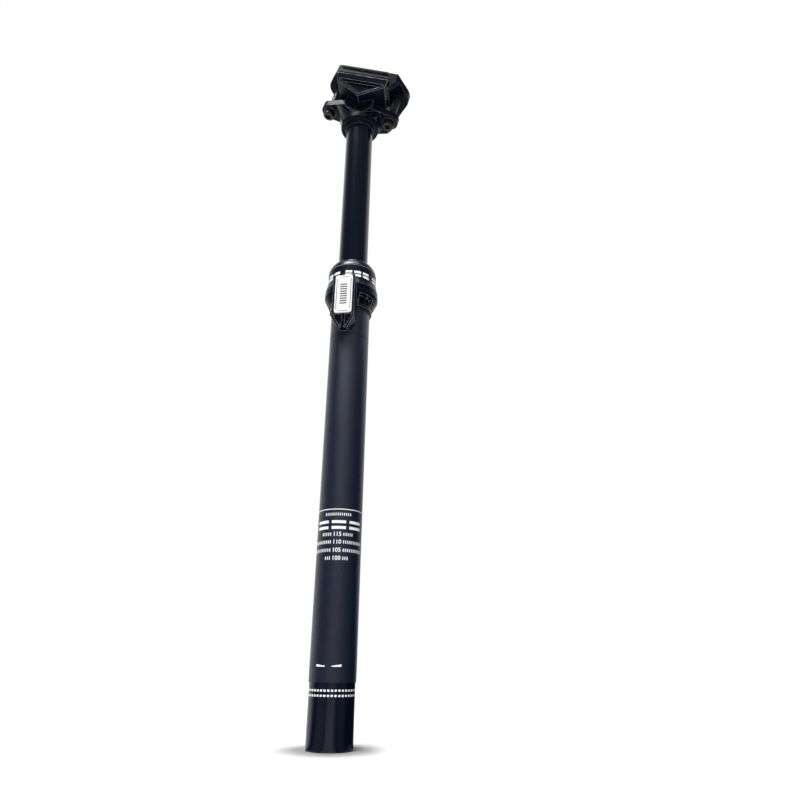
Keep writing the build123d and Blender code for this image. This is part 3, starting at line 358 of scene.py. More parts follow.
def plain_mesh(name: str, source: Object, place: Matrix | None = None) -> Object:
    """Turn an evaluated object into a closed mesh object at the origin.

    Args:
        name: Name of the new object.
        source: The object to evaluate, which is removed.
        place: Where the mesh goes, or None to leave it.

    Returns:
        The new mesh object.
    """
    evaluated = source.evaluated_get(bpy.context.evaluated_depsgraph_get())
    mesh = bpy.data.meshes.new_from_object(evaluated)
    mesh.transform(place or source.matrix_world)
    bpy.data.objects.remove(source)
    work = bmesh.new()
    work.from_mesh(mesh)
    bmesh.ops.remove_doubles(work, verts=work.verts, dist=WELD)
    bmesh.ops.recalc_face_normals(work, faces=work.faces)
    work.to_mesh(mesh)
    work.free()
    mesh.name = name
    return add_object(name, mesh)


def holder_of(name: str, mesh: Mesh | None = None) -> Object:
    """Make a scratch object that carries modifiers until its result is taken."""
    return add_object(name + "_scratch", mesh or bpy.data.meshes.new(name + "_scratch"))


def add_tree(holder: Object, make: Callable[[], Tree], values: dict[str, Any]) -> None:
    """Put a Geometry Nodes tree on an object and set its inputs by their sockets' identifiers.

    Args:
        holder: The object that gets the modifier.
        make: Builds the tree, which has this function's name and is built once.
        values: Input name to value.
    """
    tree = bpy.data.node_groups.get(make.__name__) or make()
    modifier = holder.modifiers.new(tree.name, "NODES")
    modifier.node_group = tree
    for item in tree.interface.items_tree:
        if item.item_type == "SOCKET" and item.in_out == "INPUT" and item.name in values:
            modifier[item.identifier] = values[item.name]


def new_tree(name: str, inputs: dict[str, str]) -> tuple[Tree, Node, Node]:
    """Start a Geometry Nodes tree with named inputs and one geometry output.

    Args:
        name: The tree's name.
        inputs: Input name to socket type.

    Returns:
        The tree, its input node and its output node.
    """
    tree = bpy.data.node_groups.new(name, "GeometryNodeTree")
    for label, kind in inputs.items():
        tree.interface.new_socket(label, in_out="INPUT", socket_type=kind)
    tree.interface.new_socket("Geometry", in_out="OUTPUT", socket_type="NodeSocketGeometry")
    return tree, add_node(tree, "NodeGroupInput"), add_node(tree, "NodeGroupOutput")


def end_tree(tree: Tree, shape: Socket, material: Socket, out: Node) -> Tree:
    """Finish a tree with Realize Instances and Set Material.

    Args:
        tree: The tree.
        shape: The geometry that it makes.
        material: The material's input.
        out: The tree's output node.

    Returns:
        The tree.
    """
    whole = add_node(tree, "GeometryNodeRealizeInstances", {"Geometry": shape})
    dressed = add_node(tree, "GeometryNodeSetMaterial", {"Geometry": whole.outputs[0], "Material": material})
    tree.links.new(dressed.outputs[0], out.inputs[0])
    return tree


def tick_tree() -> Tree:
    """Build the tree that lays out rows and columns of flat ticks."""
    lengths = ("Width", "Tall", "Thick", "Depth", "Start", "Step", "Height", "Row Step", "Segment")
    kinds = {name: "NodeSocketFloat" for name in lengths}
    kinds |= {"Columns": "NodeSocketInt", "Rows": "NodeSocketInt", "Material": "NodeSocketMaterial"}
    tree, given, out = new_tree("tick_tree", kinds)
    value = given.outputs
    box = {"X": value["Width"], "Y": value["Thick"], "Z": value["Tall"]}
    cube = {"Size": add_node(tree, "ShaderNodeCombineXYZ", box).outputs[0]}
    for label, length in (("Vertices X", "Width"), ("Vertices Z", "Tall")):
        parts = add_node(tree, "ShaderNodeMath", {0: value[length], 1: value["Segment"]}, operation="DIVIDE")
        points = add_node(tree, "ShaderNodeMath", {0: parts.outputs[0], 1: 2.0}, operation="ADD")
        cube[label] = points.outputs[0]
    tick = add_node(tree, "GeometryNodeMeshCube", cube)
    corner = {"X": value["Start"], "Y": value["Depth"], "Z": value["Height"]}
    start = add_node(tree, "ShaderNodeCombineXYZ", corner)
    step = add_node(tree, "ShaderNodeCombineXYZ", {"X": value["Step"]})
    line = {"Count": value["Columns"], "Start Location": start.outputs[0], "Offset": step.outputs[0]}
    row = add_node(tree, "GeometryNodeMeshLine", line, mode="OFFSET")
    rise = add_node(tree, "ShaderNodeCombineXYZ", {"Z": value["Row Step"]})
    stack = {"Count": value["Rows"], "Offset": rise.outputs[0]}
    column = add_node(tree, "GeometryNodeMeshLine", stack, mode="OFFSET").outputs[0]
    rows = add_node(tree, "GeometryNodeInstanceOnPoints", {"Points": column, "Instance": row.outputs[0]})
    points = add_node(tree, "GeometryNodeRealizeInstances", {"Geometry": rows.outputs[0]}).outputs[0]
    ticks = add_node(tree, "GeometryNodeInstanceOnPoints", {"Points": points, "Instance": tick.outputs[0]})
    return end_tree(tree, ticks.outputs[0], value["Material"], out)


def wrap_tree() -> Tree:
    """Build the tree that lays a flat film on a surface around the post.

    The film's X is the way round the post, measured at Radius, its Z the height and
    its -Y the way out of the surface. Rays towards the post's axis find the surface.
    """
    kinds = {"Geometry": "NodeSocketGeometry", "Surface": "NodeSocketObject"}
    kinds |= {"Radius": "NodeSocketFloat", "Far": "NodeSocketFloat", "Material": "NodeSocketMaterial"}
    tree, given, out = new_tree("wrap_tree", kinds)
    value = given.outputs
    position = add_node(tree, "GeometryNodeInputPosition").outputs[0]
    place = add_node(tree, "ShaderNodeSeparateXYZ", {0: position}).outputs
    angle = add_node(tree, "ShaderNodeMath", {0: place["X"], 1: value["Radius"]}, operation="DIVIDE")
    sine = add_node(tree, "ShaderNodeMath", {0: angle.outputs[0]}, operation="SINE").outputs[0]
    cosine = add_node(tree, "ShaderNodeMath", {0: angle.outputs[0]}, operation="COSINE").outputs[0]
    back = add_node(tree, "ShaderNodeMath", {0: cosine, 1: -1.0}, operation="MULTIPLY").outputs[0]
    outward = add_node(tree, "ShaderNodeCombineXYZ", {"X": sine, "Y": back}).outputs[0]
    inward = add_node(tree, "ShaderNodeVectorMath", {0: outward, 3: -1.0}, operation="SCALE").outputs[0]
    far = add_node(tree, "ShaderNodeVectorMath", {0: outward, 3: value["Far"]}, operation="SCALE").outputs[0]
    level = add_node(tree, "ShaderNodeCombineXYZ", {"Z": place["Z"]}).outputs[0]
    origin = add_node(tree, "ShaderNodeVectorMath", {0: far, 1: level}, operation="ADD").outputs[0]
    target = {"Object": value["Surface"]}
    surface = add_node(tree, "GeometryNodeObjectInfo", target, transform_space="ORIGINAL")
    aim = {"Target Geometry": surface.outputs["Geometry"], "Source Position": origin}
    aim |= {"Ray Direction": inward, "Ray Length": value["Far"]}
    ray = add_node(tree, "GeometryNodeRaycast", aim)
    depth = add_node(tree, "ShaderNodeMath", {0: place["Y"], 1: -1.0}, operation="MULTIPLY").outputs[0]
    lift = add_node(tree, "ShaderNodeVectorMath", {0: outward, 3: depth}, operation="SCALE").outputs[0]
    hit = ray.outputs["Hit Position"]
    landed = add_node(tree, "ShaderNodeVectorMath", {0: hit, 1: lift}, operation="ADD").outputs[0]
    laid = add_node(tree, "GeometryNodeSetPosition", {"Geometry": value["Geometry"], "Position": landed})
    return end_tree(tree, laid.outputs[0], value["Material"], out)


def thread_tree() -> Tree:
    """Build the tree that winds the ridge of a right-handed thread around an upright axis."""
    kinds = {name: "NodeSocketFloat" for name in ("Radius", "Pitch", "Length", "Ridge")}
    kinds |= {"Points per Turn": "NodeSocketInt", "Material": "NodeSocketMaterial"}
    tree, given, out = new_tree("thread_tree", kinds)
    value = given.outputs
    turns = add_node(tree, "ShaderNodeMath", {0: value["Length"], 1: value["Pitch"]}, operation="DIVIDE")
    spiral = {"Resolution": value["Points per Turn"], "Rotations": turns.outputs[0], "Reverse": True}
    spiral |= {"Start Radius": value["Radius"], "End Radius": value["Radius"], "Height": value["Length"]}
    line = add_node(tree, "GeometryNodeCurveSpiral", spiral)
    section = {"Resolution": RIDGE_CORNERS, "Radius": value["Ridge"]}
    ridge = add_node(tree, "GeometryNodeCurvePrimitiveCircle", section)
    sweep = {"Curve": line.outputs[0], "Profile Curve": ridge.outputs[0], "Fill Caps": True}
    swept = add_node(tree, "GeometryNodeCurveToMesh", sweep)
    return end_tree(tree, swept.outputs[0], value["Material"], out)


def rib_tree() -> Tree:
    """Build the tree that sets ribs across a half-round groove along X."""
    kinds = {name: "NodeSocketFloat" for name in ("Radius", "Width", "Rise", "Length", "Middle", "Sweep")}
    kinds |= {"Count": "NodeSocketInt", "Material": "NodeSocketMaterial"}
    tree, given, out = new_tree("rib_tree", kinds)
    value = given.outputs
    half = add_node(tree, "ShaderNodeMath", {0: value["Sweep"], 1: 0.5}, operation="MULTIPLY")
    first = add_node(tree, "ShaderNodeMath", {0: value["Middle"], 1: half.outputs[0]}, operation="SUBTRACT")
    bend = {"Resolution": RIB_POINTS, "Radius": value["Radius"]}
    bend |= {"Start Angle": first.outputs[0], "Sweep Angle": value["Sweep"]}
    arc = add_node(tree, "GeometryNodeCurveArc", bend)
    section = {"Width": value["Rise"], "Height": value["Width"]}
    bar = add_node(tree, "GeometryNodeCurvePrimitiveQuadrilateral", section)
    sweep = {"Curve": arc.outputs[0], "Profile Curve": bar.outputs[0], "Fill Caps": True}
    rib = add_node(tree, "GeometryNodeCurveToMesh", sweep)
    row = {"Count": value["Count"]}
    for label, share in (("Start Location", -0.5), ("Offset", 0.5)):
        end = add_node(tree, "ShaderNodeMath", {0: value["Length"], 1: share}, operation="MULTIPLY")
        row[label] = add_node(tree, "ShaderNodeCombineXYZ", {"X": end.outputs[0]}).outputs[0]
    line = add_node(tree, "GeometryNodeMeshLine", row, mode="END_POINTS")
    spread = {"Points": line.outputs[0], "Instance": rib.outputs[0], "Rotation": (0.0, math.pi / 2, 0.0)}
    ribs = add_node(tree, "GeometryNodeInstanceOnPoints", spread)
    return end_tree(tree, ribs.outputs[0], value["Material"], out)


def finish_piece(piece: Object, body: str, slot: str, finish: Finish) -> None:
    """Let a piece ride on its body and dress it.

    Args:
        piece: The finished mesh object.
        body: Name of the body it moves with.
        slot: The record's material slot it belongs to; not used.
        finish: The finish on it.
    """
    piece.data.materials.clear()
    piece.data.materials.append(finish.material())
    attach(piece, body)
    LOG.info("piece %s rides on %s, %d faces", piece.name, body, len(piece.data.polygons))


@dataclass(frozen=True)
class Surface:
    """A CAD node that carries a film of ink, paint or fine ridges.

    Sizes are in millimetres. The film stands proud of the node by film and reaches
    into it by root, so that it is closed and never floats.
    """

    node: str
    radius: float
    body: str = "lower_post"
    slot: str = "tube_black"
    finish: Finish = WHITE_INK
    film: float = 0.04
    root: float = 0.04

    def arc(self, degrees: float) -> float:
        """Turn an angle around the post into metres along the surface."""
        return math.radians(degrees) * self.radius * MM

    def ring(self) -> float:
        """Measure a full ring around the surface, less the gap between its ends."""
        return 2 * math.pi * self.radius - RING_GAP

    def wrap(self, name: str, holder: Object, nodes: Nodes) -> Object:
        """Lay a flat film on the node and finish it as a piece.

        Args:
            name: The piece's name.
            holder: The object with the flat film, which is removed.
            nodes: CAD node name to its object.

        Returns:
            The finished piece.
        """
        values = {
            "Surface": nodes[self.node],
            "Radius": self.radius * MM,
            "Far": RAY_REACH * self.radius * MM,
            "Material": self.finish.material(),
        }
        add_tree(holder, wrap_tree, values)
        made = plain_mesh(name, holder)
        finish_piece(made, self.body, self.slot, self.finish)
        return made


@dataclass(frozen=True)
class Ticks:
    """Rows and columns of ticks, with angles from -Y towards +X in degrees and sizes in millimetres."""

    name: str
    height: float
    width: float
    tall: float
    angle: float = 0.0
    columns: int = 1
    step: float = 0.0
    rows: int = 1
    row_step: float = 0.0

    def build(self, surface: Surface, nodes: Nodes) -> Object:
        """Lay the ticks on a surface.

        Args:
            surface: What carries them.
            nodes: CAD node name to its object.

        Returns:
            The finished piece.
        """
        values = {
            "Width": self.width * MM,
            "Tall": self.tall * MM,
            "Thick": (surface.film + surface.root) * MM,
            "Depth": (surface.root - surface.film) / 2 * MM,
            "Start": surface.arc(self.angle),
            "Step": surface.arc(self.step),
            "Height": self.height * MM,
            "Row Step": self.row_step * MM,
            "Segment": SEGMENT * MM,
            "Columns": self.columns,
            "Rows": self.rows,
            "Material": surface.finish.material(),
        }
        holder = holder_of(self.name)
        add_tree(holder, tick_tree, values)
        return surface.wrap(self.name, holder, nodes)


@dataclass(frozen=True)
class Wedge:
    """A printed dash that grows from a thin end to a thick one, with the ends' angles in degrees."""

    name: str
    low: float
    thin_angle: float
    thick_angle: float
    thin: float = 0.5
    thick: float = 1.25
    columns: int = 10

    def build(self, surface: Surface, nodes: Nodes) -> Object:
        """Lay the dash on a surface.

        Args:
            surface: What carries it.
            nodes: CAD node name to its object.

        Returns:
            The finished piece.
        """
        work = bmesh.new()
        loops = []
        for index in range(self.columns + 1):
            share = index / self.columns
            across = surface.arc(self.thin_angle + share * (self.thick_angle - self.thin_angle))
            bottom = self.low * MM
            top = bottom + (self.thin + share * (self.thick - self.thin)) * MM
            front, back = -surface.film * MM, surface.root * MM
            corners_at = ((front, bottom), (front, top), (back, top), (back, bottom))
            loops.append([work.verts.new((across, depth, height)) for depth, height in corners_at])
        for left, right in zip(loops, loops[1:]):
            for side in range(4):
                work.faces.new((left[side], right[side], right[side - 3], left[side - 3]))
        work.faces.new(loops[0])
        work.faces.new(loops[-1])
        mesh = bpy.data.meshes.new(self.name + "_flat")
        work.to_mesh(mesh)
        work.free()
        return surface.wrap(self.name, holder_of(self.name, mesh), nodes)


@dataclass(frozen=True)
class Number:
    """A plain number printed on a surface, with its middle's angle in degrees and sizes in millimetres."""

    name: str
    value: int
    height: float
    tall: float
    angle: float = 0.0
    stroke: float = 0.05

    def build(self, surface: Surface, nodes: Nodes) -> Object:
        """Lay the number on a surface.

        Args:
            surface: What carries it.
            nodes: CAD node name to its object.

        Returns:
            The finished piece.
        """
        words = bpy.data.curves.new(self.name + "_text", "FONT")
        words.body = str(self.value)
        words.align_x = "CENTER"
        words.align_y = "CENTER"
        words.size = self.tall * MM / DIGIT_SHARE
        words.offset = self.stroke * MM
        words.extrude = (surface.film + surface.root) / 2 * MM
        words.resolution_u = 3
        line = add_object(self.name + "_text", words)
        middle = Vector((surface.arc(self.angle), (surface.root - surface.film) / 2 * MM, self.height * MM))
        upright = Matrix.Translation(middle) @ Matrix.Rotation(math.pi / 2, 4, "X")
        return surface.wrap(self.name, plain_mesh(self.name + "_flat", line, upright), nodes)


Mark = Ticks | Wedge | Number


@dataclass
class Print:
    """Marks of one finish on one surface."""

    surface: Surface

    def marks(self) -> list[Mark]:
        """List the marks."""
        return []

    def build(self, nodes: Nodes) -> None:
        """Lay every mark on the surface.

        Args:
            nodes: CAD node name to its object.
        """
        for mark in self.marks():
            mark.build(self.surface, nodes)


@dataclass
class TubePrint(Print):
    """White depth scale on the outer tube.

    Angles and steps around the tube are in degrees. A row of the scale is its number,
    its height, and the angles at which its ticks start and end on both sides.
    """

    surface: Surface = Surface("outer_tube", 13.6)
    insert_line: float = 130.4
    line_tall: float = 0.5
    middle_angle: float = 1.5
    tick_width: float = 0.55
    fine_row: float = 127.3
    fine_tall: float = 1.7
    fine_ticks: int = 13
    fine_step: float = 5.5
    bold_row: float = 120.95
    bold_width: float = 8.8
    bold_tall: float = 1.7
    bold_start: float = -43.0
    bold_dashes: int = 3
    bold_step: float = 46.0
    bold_row_step: float = 3.5
    scale_rows: Sequence[tuple[int, float, float, float]] = (
        (115, 115.2, 17.0, 40.0),
        (110, 110.6, 17.0, 74.0),
        (105, 105.8, 17.0, 74.0),
        (100, 101.1, 17.0, 30.0),
    )
    digit_tall: float = 2.5
    tick_tall: float = 1.9
    tick_step: float = 5.6
    foot_marks: float = 42.1
    foot_reach: Sequence[tuple[str, float, float]] = (("left", -12.0, -35.5), ("right", 4.0, 27.5))

    def marks(self) -> list[Mark]:
        """List the line, the rows of ticks and numbers, and the two dashes at the foot."""
        fine_start = self.middle_angle - self.fine_step * (self.fine_ticks - 1) / 2
        marks = [
            Ticks("insert_line", self.insert_line, self.surface.ring(), self.line_tall),
            Ticks(
                "fine_ticks", self.fine_row, self.tick_width, self.fine_tall, fine_start, self.fine_ticks,
                self.fine_step,
            ),
            Ticks(
                "bold_dashes", self.bold_row - self.bold_row_step / 2, self.bold_width, self.bold_tall,
                self.middle_angle + self.bold_start, self.bold_dashes, self.bold_step,
                rows=2, row_step=self.bold_row_step,
            ),
        ]
        for value, height, inner, outer in self.scale_rows:
            marks.append(Number(f"depth_{value}", value, height, self.digit_tall, self.middle_angle))
            count = int((outer - inner) / self.tick_step) + 1
            for side, label in ((-1, "left"), (1, "right")):
                name, reach = f"depth_ticks_{value}_{label}", self.middle_angle + side * inner
                step = side * self.tick_step
                marks.append(Ticks(name, height, self.tick_width, self.tick_tall, reach, count, step))
        for label, *reach in self.foot_reach:
            marks.append(Wedge(f"foot_mark_{label}", self.foot_marks, *reach))
        return marks


@dataclass
class CapPrint(Print):
    """Two rows of short dashes around the front of the bottom cap."""

    surface: Surface = Surface("bottom_cap", 13.2, slot="cap_black")
    heights: Sequence[float] = (30.1, 27.5)
    middle_angle: float = 8.0
    reach: float = 72.0
    step: float = 9.0
    width: float = 1.25
    tall: float = 1.05

    def marks(self) -> list[Mark]:
        """List both rows."""
        count = int(2 * self.reach / self.step) + 1
        start = self.middle_angle - self.reach
        return [
            Ticks(f"cap_ticks_{index}", height, self.width, self.tall, start, count, self.step)
            for index, height in enumerate(self.heights)
        ]


@dataclass
class CollarPrint(Print):
    """Groups of bold white dashes all round the collar nut."""

    surface: Surface = Surface("collar_nut", 17.4, slot="collar_black")
    groups: int = 5
    dashes: int = 3
    step: float = 21.0
    first: float = -1.0
    height: float = 297.5
    width: float = 4.9
    tall: float = 1.9
    row_step: float = 2.9

    def marks(self) -> list[Mark]:
        """List every group."""
        return [
            Ticks(
                f"collar_dashes_{group}", self.height, self.width, self.tall,
                self.first + group * 360.0 / self.groups, self.dashes, self.step,
                rows=2, row_step=self.row_step,
            )
            for group in range(self.groups)
        ]


@dataclass
class ShoulderLine(Print):
    """A painted highlight: a grey line round the collar nut's upper shoulder, where its edge catches the
    light.
    """

    surface: Surface = Surface("collar_nut", 17.4, slot="collar_black", finish=PAINTED_HIGHLIGHT_GREY, film=0.03)
    height: float = 306.6
    tall: float = 0.3

    def marks(self) -> list[Mark]:
        """List the one ring."""
        return [Ticks("collar_shoulder_line", self.height, self.surface.ring(), self.tall)]


@dataclass
class BadgeMarks(Print):
    """Paint-filled lines on the badge: an open frame around a stack of plain bars."""

    surface: Surface = Surface(
        "badge_plate", 21.8, slot="badge_nickel", finish=BLACK_FILL, film=0.02, root=0.2
    )
    middle: float = 279.25
    angle: float = -7.0
    half_width: float = 4.9
    half_height: float = 13.7
    open_corner: float = 1.5
    line: float = 0.4
    bars: int = 9
    bar_width: float = 5.0
    bar_tall: float = 0.95
    bar_step: float = 1.9

    def marks(self) -> list[Mark]:
        """List the frame's four lines and the bars."""
        half_rim = math.degrees(self.half_width / self.surface.radius)
        wide = 2 * (self.half_width - self.open_corner)
        high = 2 * (self.half_height - self.open_corner)
        low = self.middle - self.half_height
        first = self.middle - self.bar_step * (self.bars - 1) / 2
        return [
            Ticks("badge_side_lines", self.middle, self.line, high, self.angle - half_rim, 2, 2 * half_rim),
            Ticks("badge_end_lines", low, wide, self.line, self.angle, rows=2, row_step=2 * self.half_height),
            Ticks(
                "badge_bars", first, self.bar_width, self.bar_tall, self.angle, rows=self.bars,
                row_step=self.bar_step,
            ),
        ]


@dataclass
class ValveCapGrip(Print):
    """Upright ridges around the air valve's cap, for the fingers."""

    surface: Surface = Surface(
        "valve_cap", 4.8, body="upper_post", slot="inner_alloy", finish=BARE_ALLOY, film=0.16, root=0.2
    )
    ridges: int = 24
    middle: float = 474.5
    width: float = 0.55
    tall: float = 7.4

    def marks(self) -> list[Mark]:
        """List the ridges, as one row."""
        step = 360.0 / self.ridges
        return [Ticks("valve_cap_ridges", self.middle, self.width, self.tall, 0.0, self.ridges, step)]


@dataclass
class ClampDetail:
    """Threads of the clamp bolts and ribs in the rail grooves, in the tilted clamp's directions."""

    pivot_height: float = 470.0
    tilt: float = 15.0
    bolt_reach: float = 26.0
    thread_radius: float = 2.84
    thread_low: float = 5.0
    thread_high: float = 34.4
    pitch: float = 1.0
    ridge: float = 0.18
    rail_reach: float = 22.0
    rail_high: float = 15.5
    groove_radius: float = 3.5
    groove_length: float = 41.6
    ribs: int = 33
    rib_width: float = 0.5
    rib_rise: float = 0.16
    rib_sweep: float = 146.0

    def place(self, forward: float, sideways: float, high: float) -> Matrix:
        """Turn a place in the clamp into a matrix of the post's frame.

        Args:
            forward: Millimetres along the rails, towards the front.
            sideways: Millimetres across the post.
            high: Millimetres above the pivot, square to the rails.

        Returns:
            The matrix of that place, turned with the clamp.
        """
        centre = Matrix.Translation((0, 0, self.pivot_height * MM))
        turned = Matrix.Rotation(math.radians(self.tilt), 4, "Y")
        return centre @ turned @ Matrix.Translation((forward * MM, sideways * MM, high * MM))

    def build(self) -> None:
        """Wind the threads and set the ribs."""
        for end, name, body in ((1, "front", "front_screw"), (-1, "rear", "rear_screw")):
            self._thread(name + "_bolt_thread", body, end * self.bolt_reach)
        for side, label in ((-1, "right"), (1, "left")):
            for middle, half in ((0.0, "lower"), (180.0, "upper")):
                self._ribs(f"{half}_ribs_{label}", side * self.rail_reach, middle)

    def _grow(
        self, name: str, make: Callable[[], Tree], values: dict[str, Any], place: Matrix, rides: Sequence[Any]
    ) -> None:
        """Grow one piece from its tree and finish it.

        Args:
            name: The piece's name.
            make: Builds the tree.
            values: Input name to value, but for the material.
            place: Where the piece goes.
            rides: Its body, its slot and its finish.
        """
        holder = holder_of(name)
        add_tree(holder, make, values | {"Material": rides[-1].material()})
        finish_piece(plain_mesh(name, holder, place), *rides)

    def _thread(self, name: str, body: str, forward: float) -> None:
        """Wind one bolt's thread.

        Args:
            name: The piece's name.
            body: The bolt's body.
            forward: Where the bolt stands along the rails.
        """
        values = {
            "Radius": self.thread_radius * MM,
            "Pitch": self.pitch * MM,
            "Length": (self.thread_high - self.thread_low) * MM,
            "Ridge": self.ridge * MM,
            "Points per Turn": THREAD_POINTS,
        }
        place = self.place(forward, 0.0, self.thread_low)
        self._grow(name, thread_tree, values, place, (body, "black_steel", OXIDE_STEEL))

    def _ribs(self, name: str, sideways: float, middle: float) -> None:
        """Set the ribs of one half of a rail groove.

        Args:
            name: The piece's name.
            sideways: Where the rail lies across the post.
            middle: The groove's middle, 0 at its floor and 180 at its roof, in degrees.
        """
        values = {
            "Radius": self.groove_radius * MM,
            "Width": self.rib_width * MM,
            "Rise": self.rib_rise * MM,
            "Length": self.groove_length * MM,
            "Middle": math.radians(middle),
            "Sweep": math.radians(self.rib_sweep),
            "Count": self.ribs,
        }
        place = self.place(0.0, sideways, self.rail_high)
        self._grow(name, rib_tree, values, place, ("clamp", "clamp_black", MACHINED_BLACK))


@dataclass(frozen=True)
class Lamp:
    """A square area lamp that faces the post: angles in degrees, lengths in metres, power in watts."""

    name: str
    azimuth: float
    elevation: float
    distance: float
    size: float
    power: float

    def build(self, target: Point) -> None:
        """Hang the lamp.

        Args:
            target: The point that it faces.
        """
        turn, rise = math.radians(self.azimuth), math.radians(self.elevation)
        way = Vector((math.sin(turn) * math.cos(rise), -math.cos(turn) * math.cos(rise), math.sin(rise)))
        lamp = bpy.data.lights.new(self.name, "AREA")
        lamp.size = self.size
        lamp.energy = self.power
        holder = add_object(self.name, lamp)
        holder.location = Vector(target) + way * self.distance
        holder.rotation_euler = (-way).to_track_quat("-Z", "Y").to_euler()


@dataclass
class Studio:
    """Pale floor, soft lights and the surroundings that the glossy metal shows.

    The room is white behind the post and dim in front of it. Both tables hold
    azimuths from -Y towards +X in degrees, and the room's level there. The levels are
    fitted to the light and dark bands on the photograph's cap and stanchion.
    """

    floor_half: float = 3.0
    floor_glow: float = 0.84
    floor_colour: float = 0.3
    # Painted shade at the post's foot: ambient occlusion within this reach dims the floor's glow, which fades
    # in between these two occlusion levels.
    contact_reach: float = 0.035
    contact_open: Sequence[float] = (0.82, 0.94)
    lamps: Sequence[Lamp] = (
        Lamp("key_lamp", -30.0, 66.0, 4.0, 1.5, 190.0),
        Lamp("fill_lamp", 20.0, 70.0, 4.0, 1.5, 55.0),
    )
    target: Point = (0.0, 0.0, 0.25)
    room: Sequence[tuple[float, float]] = (
        (-180, 1.0), (-125, 1.0), (-110, 0.6), (-92, 0.25), (-75, 0.11), (-55, 0.08), (0, 0.08), (20, 0.13),
        (60, 0.12), (90, 0.14), (107, 0.35), (122, 0.9), (180, 0.9),
    )
    bench: Sequence[tuple[float, float]] = (
        (-180, 1.0), (-114, 1.0), (-98, 0.8), (-86, 0.05), (-70, 0.02), (-60, 0.2), (-28, 0.25), (-19, 0.08),
        (-9, 0.55), (16, 0.6), (25, 0.3), (33, 0.03), (46, 0.12), (68, 0.12), (80, 0.06), (92, 0.2),
        (106, 0.2), (114, 0.02), (142, 0.02), (160, 0.6), (180, 1.0),
    )
    ceiling_edge: Sequence[float] = (50.0, 66.0)
    ceiling_level: float = 0.12
    window_azimuth: float = 6.0
    window_elevation: float = 19.0
    window_reach: Sequence[float] = (33.0, 17.0)
    window_edge: float = 12.0
    window_level: float = 1.0
    flag_foot: Point = (0.034, -0.015, 0.0)
    flag_head: Point = (0.1, -0.015, 0.3)
    flag_width: float = 0.075
    flag_colour: tuple[float, float, float, float] = (0.004, 0.004, 0.006, 1.0)

    def build(self) -> None:
        """Make the floor, the lamps, the dark board and the world."""
        self._floor()
        for lamp in self.lamps:
            lamp.build(self.target)
        self._flag()
        self._world()

    def _azimuth(self, tree: Tree, way: Socket) -> Socket:
        """Make a direction's angle around the post, from -Y towards +X in radians."""
        parts = add_node(tree, "ShaderNodeSeparateXYZ", {0: way}).outputs
        ahead = add_node(tree, "ShaderNodeMath", {0: parts["Y"], 1: -1.0}, operation="MULTIPLY").outputs[0]
        return add_node(tree, "ShaderNodeMath", {0: parts["X"], 1: ahead}, operation="ARCTAN2").outputs[0]

    def _level(self, tree: Tree, way: Socket, stops: Sequence[tuple[float, float]]) -> Socket:
        """Look a direction's azimuth up in a table of levels.

        Args:
            tree: The tree of the floor's material or of the world.
            way: A vector from the post.
            stops: Azimuth and level, in order.

        Returns:
            The socket of the grey level.
        """
        circle = {"Value": self._azimuth(tree, way), "From Min": -math.pi, "From Max": math.pi}
        share = add_node(tree, "ShaderNodeMapRange", circle)
        ramp = add_node(tree, "ShaderNodeValToRGB", {"Fac": share.outputs[0]})
        elements = ramp.color_ramp.elements
        while len(elements) > 1:
            elements.remove(elements[-1])
        for index, (degrees, level) in enumerate(stops):
            place = (degrees + 180) / 360
            element = elements[0] if index == 0 else elements.new(place)
            element.position = place
            element.color = grey(level)
        return ramp.outputs["Color"]

    def _floor(self) -> None:
        """Make the pale floor, which keeps the post's shadow; its glow carries a painted shade that darkens
        it where the post stands on it, and glossy rays see it glow at the bench table's levels.
        """
        half = self.floor_half
        mesh = bpy.data.meshes.new("studio_floor")
        square = [(-half, -half, 0), (half, -half, 0), (half, half, 0), (-half, half, 0)]
        mesh.from_pydata(square, [], [(0, 1, 2, 3)])
        floor = add_object("studio_floor", mesh)
        paper = bpy.data.materials.new("white_studio_paper")
        tree = empty_tree(paper)
        place = add_node(tree, "ShaderNodeTexCoord").outputs["Object"]
        # Painted shadow: ambient occlusion near the post dims the floor's glow.
        near = add_node(tree, "ShaderNodeAmbientOcclusion", {"Distance": self.contact_reach}, samples=12)
        low, high = self.contact_open
        openness = {"Value": near.outputs["AO"], "From Min": low, "From Max": high, "To Max": self.floor_glow}
        glow_under_painted_shade = add_node(tree, "ShaderNodeMapRange", openness)
        glow = add_node(tree, "ShaderNodeEmission", {"Strength": glow_under_painted_shade.outputs["Result"]})
        matte = add_node(tree, "ShaderNodeBsdfDiffuse", {"Color": grey(self.floor_colour)})
        seen = add_node(tree, "ShaderNodeAddShader", {0: glow.outputs[0], 1: matte.outputs[0]}).outputs[0]
        shown = add_node(tree, "ShaderNodeEmission", {"Color": self._level(tree, place, self.bench)})
        glossy = add_node(tree, "ShaderNodeLightPath").outputs["Is Glossy Ray"]
        both = add_node(tree, "ShaderNodeMixShader", {0: glossy, 1: seen, 2: shown.outputs[0]})
        add_node(tree, "ShaderNodeOutputMaterial", {"Surface": both.outputs[0]})
        mesh.materials.append(paper)

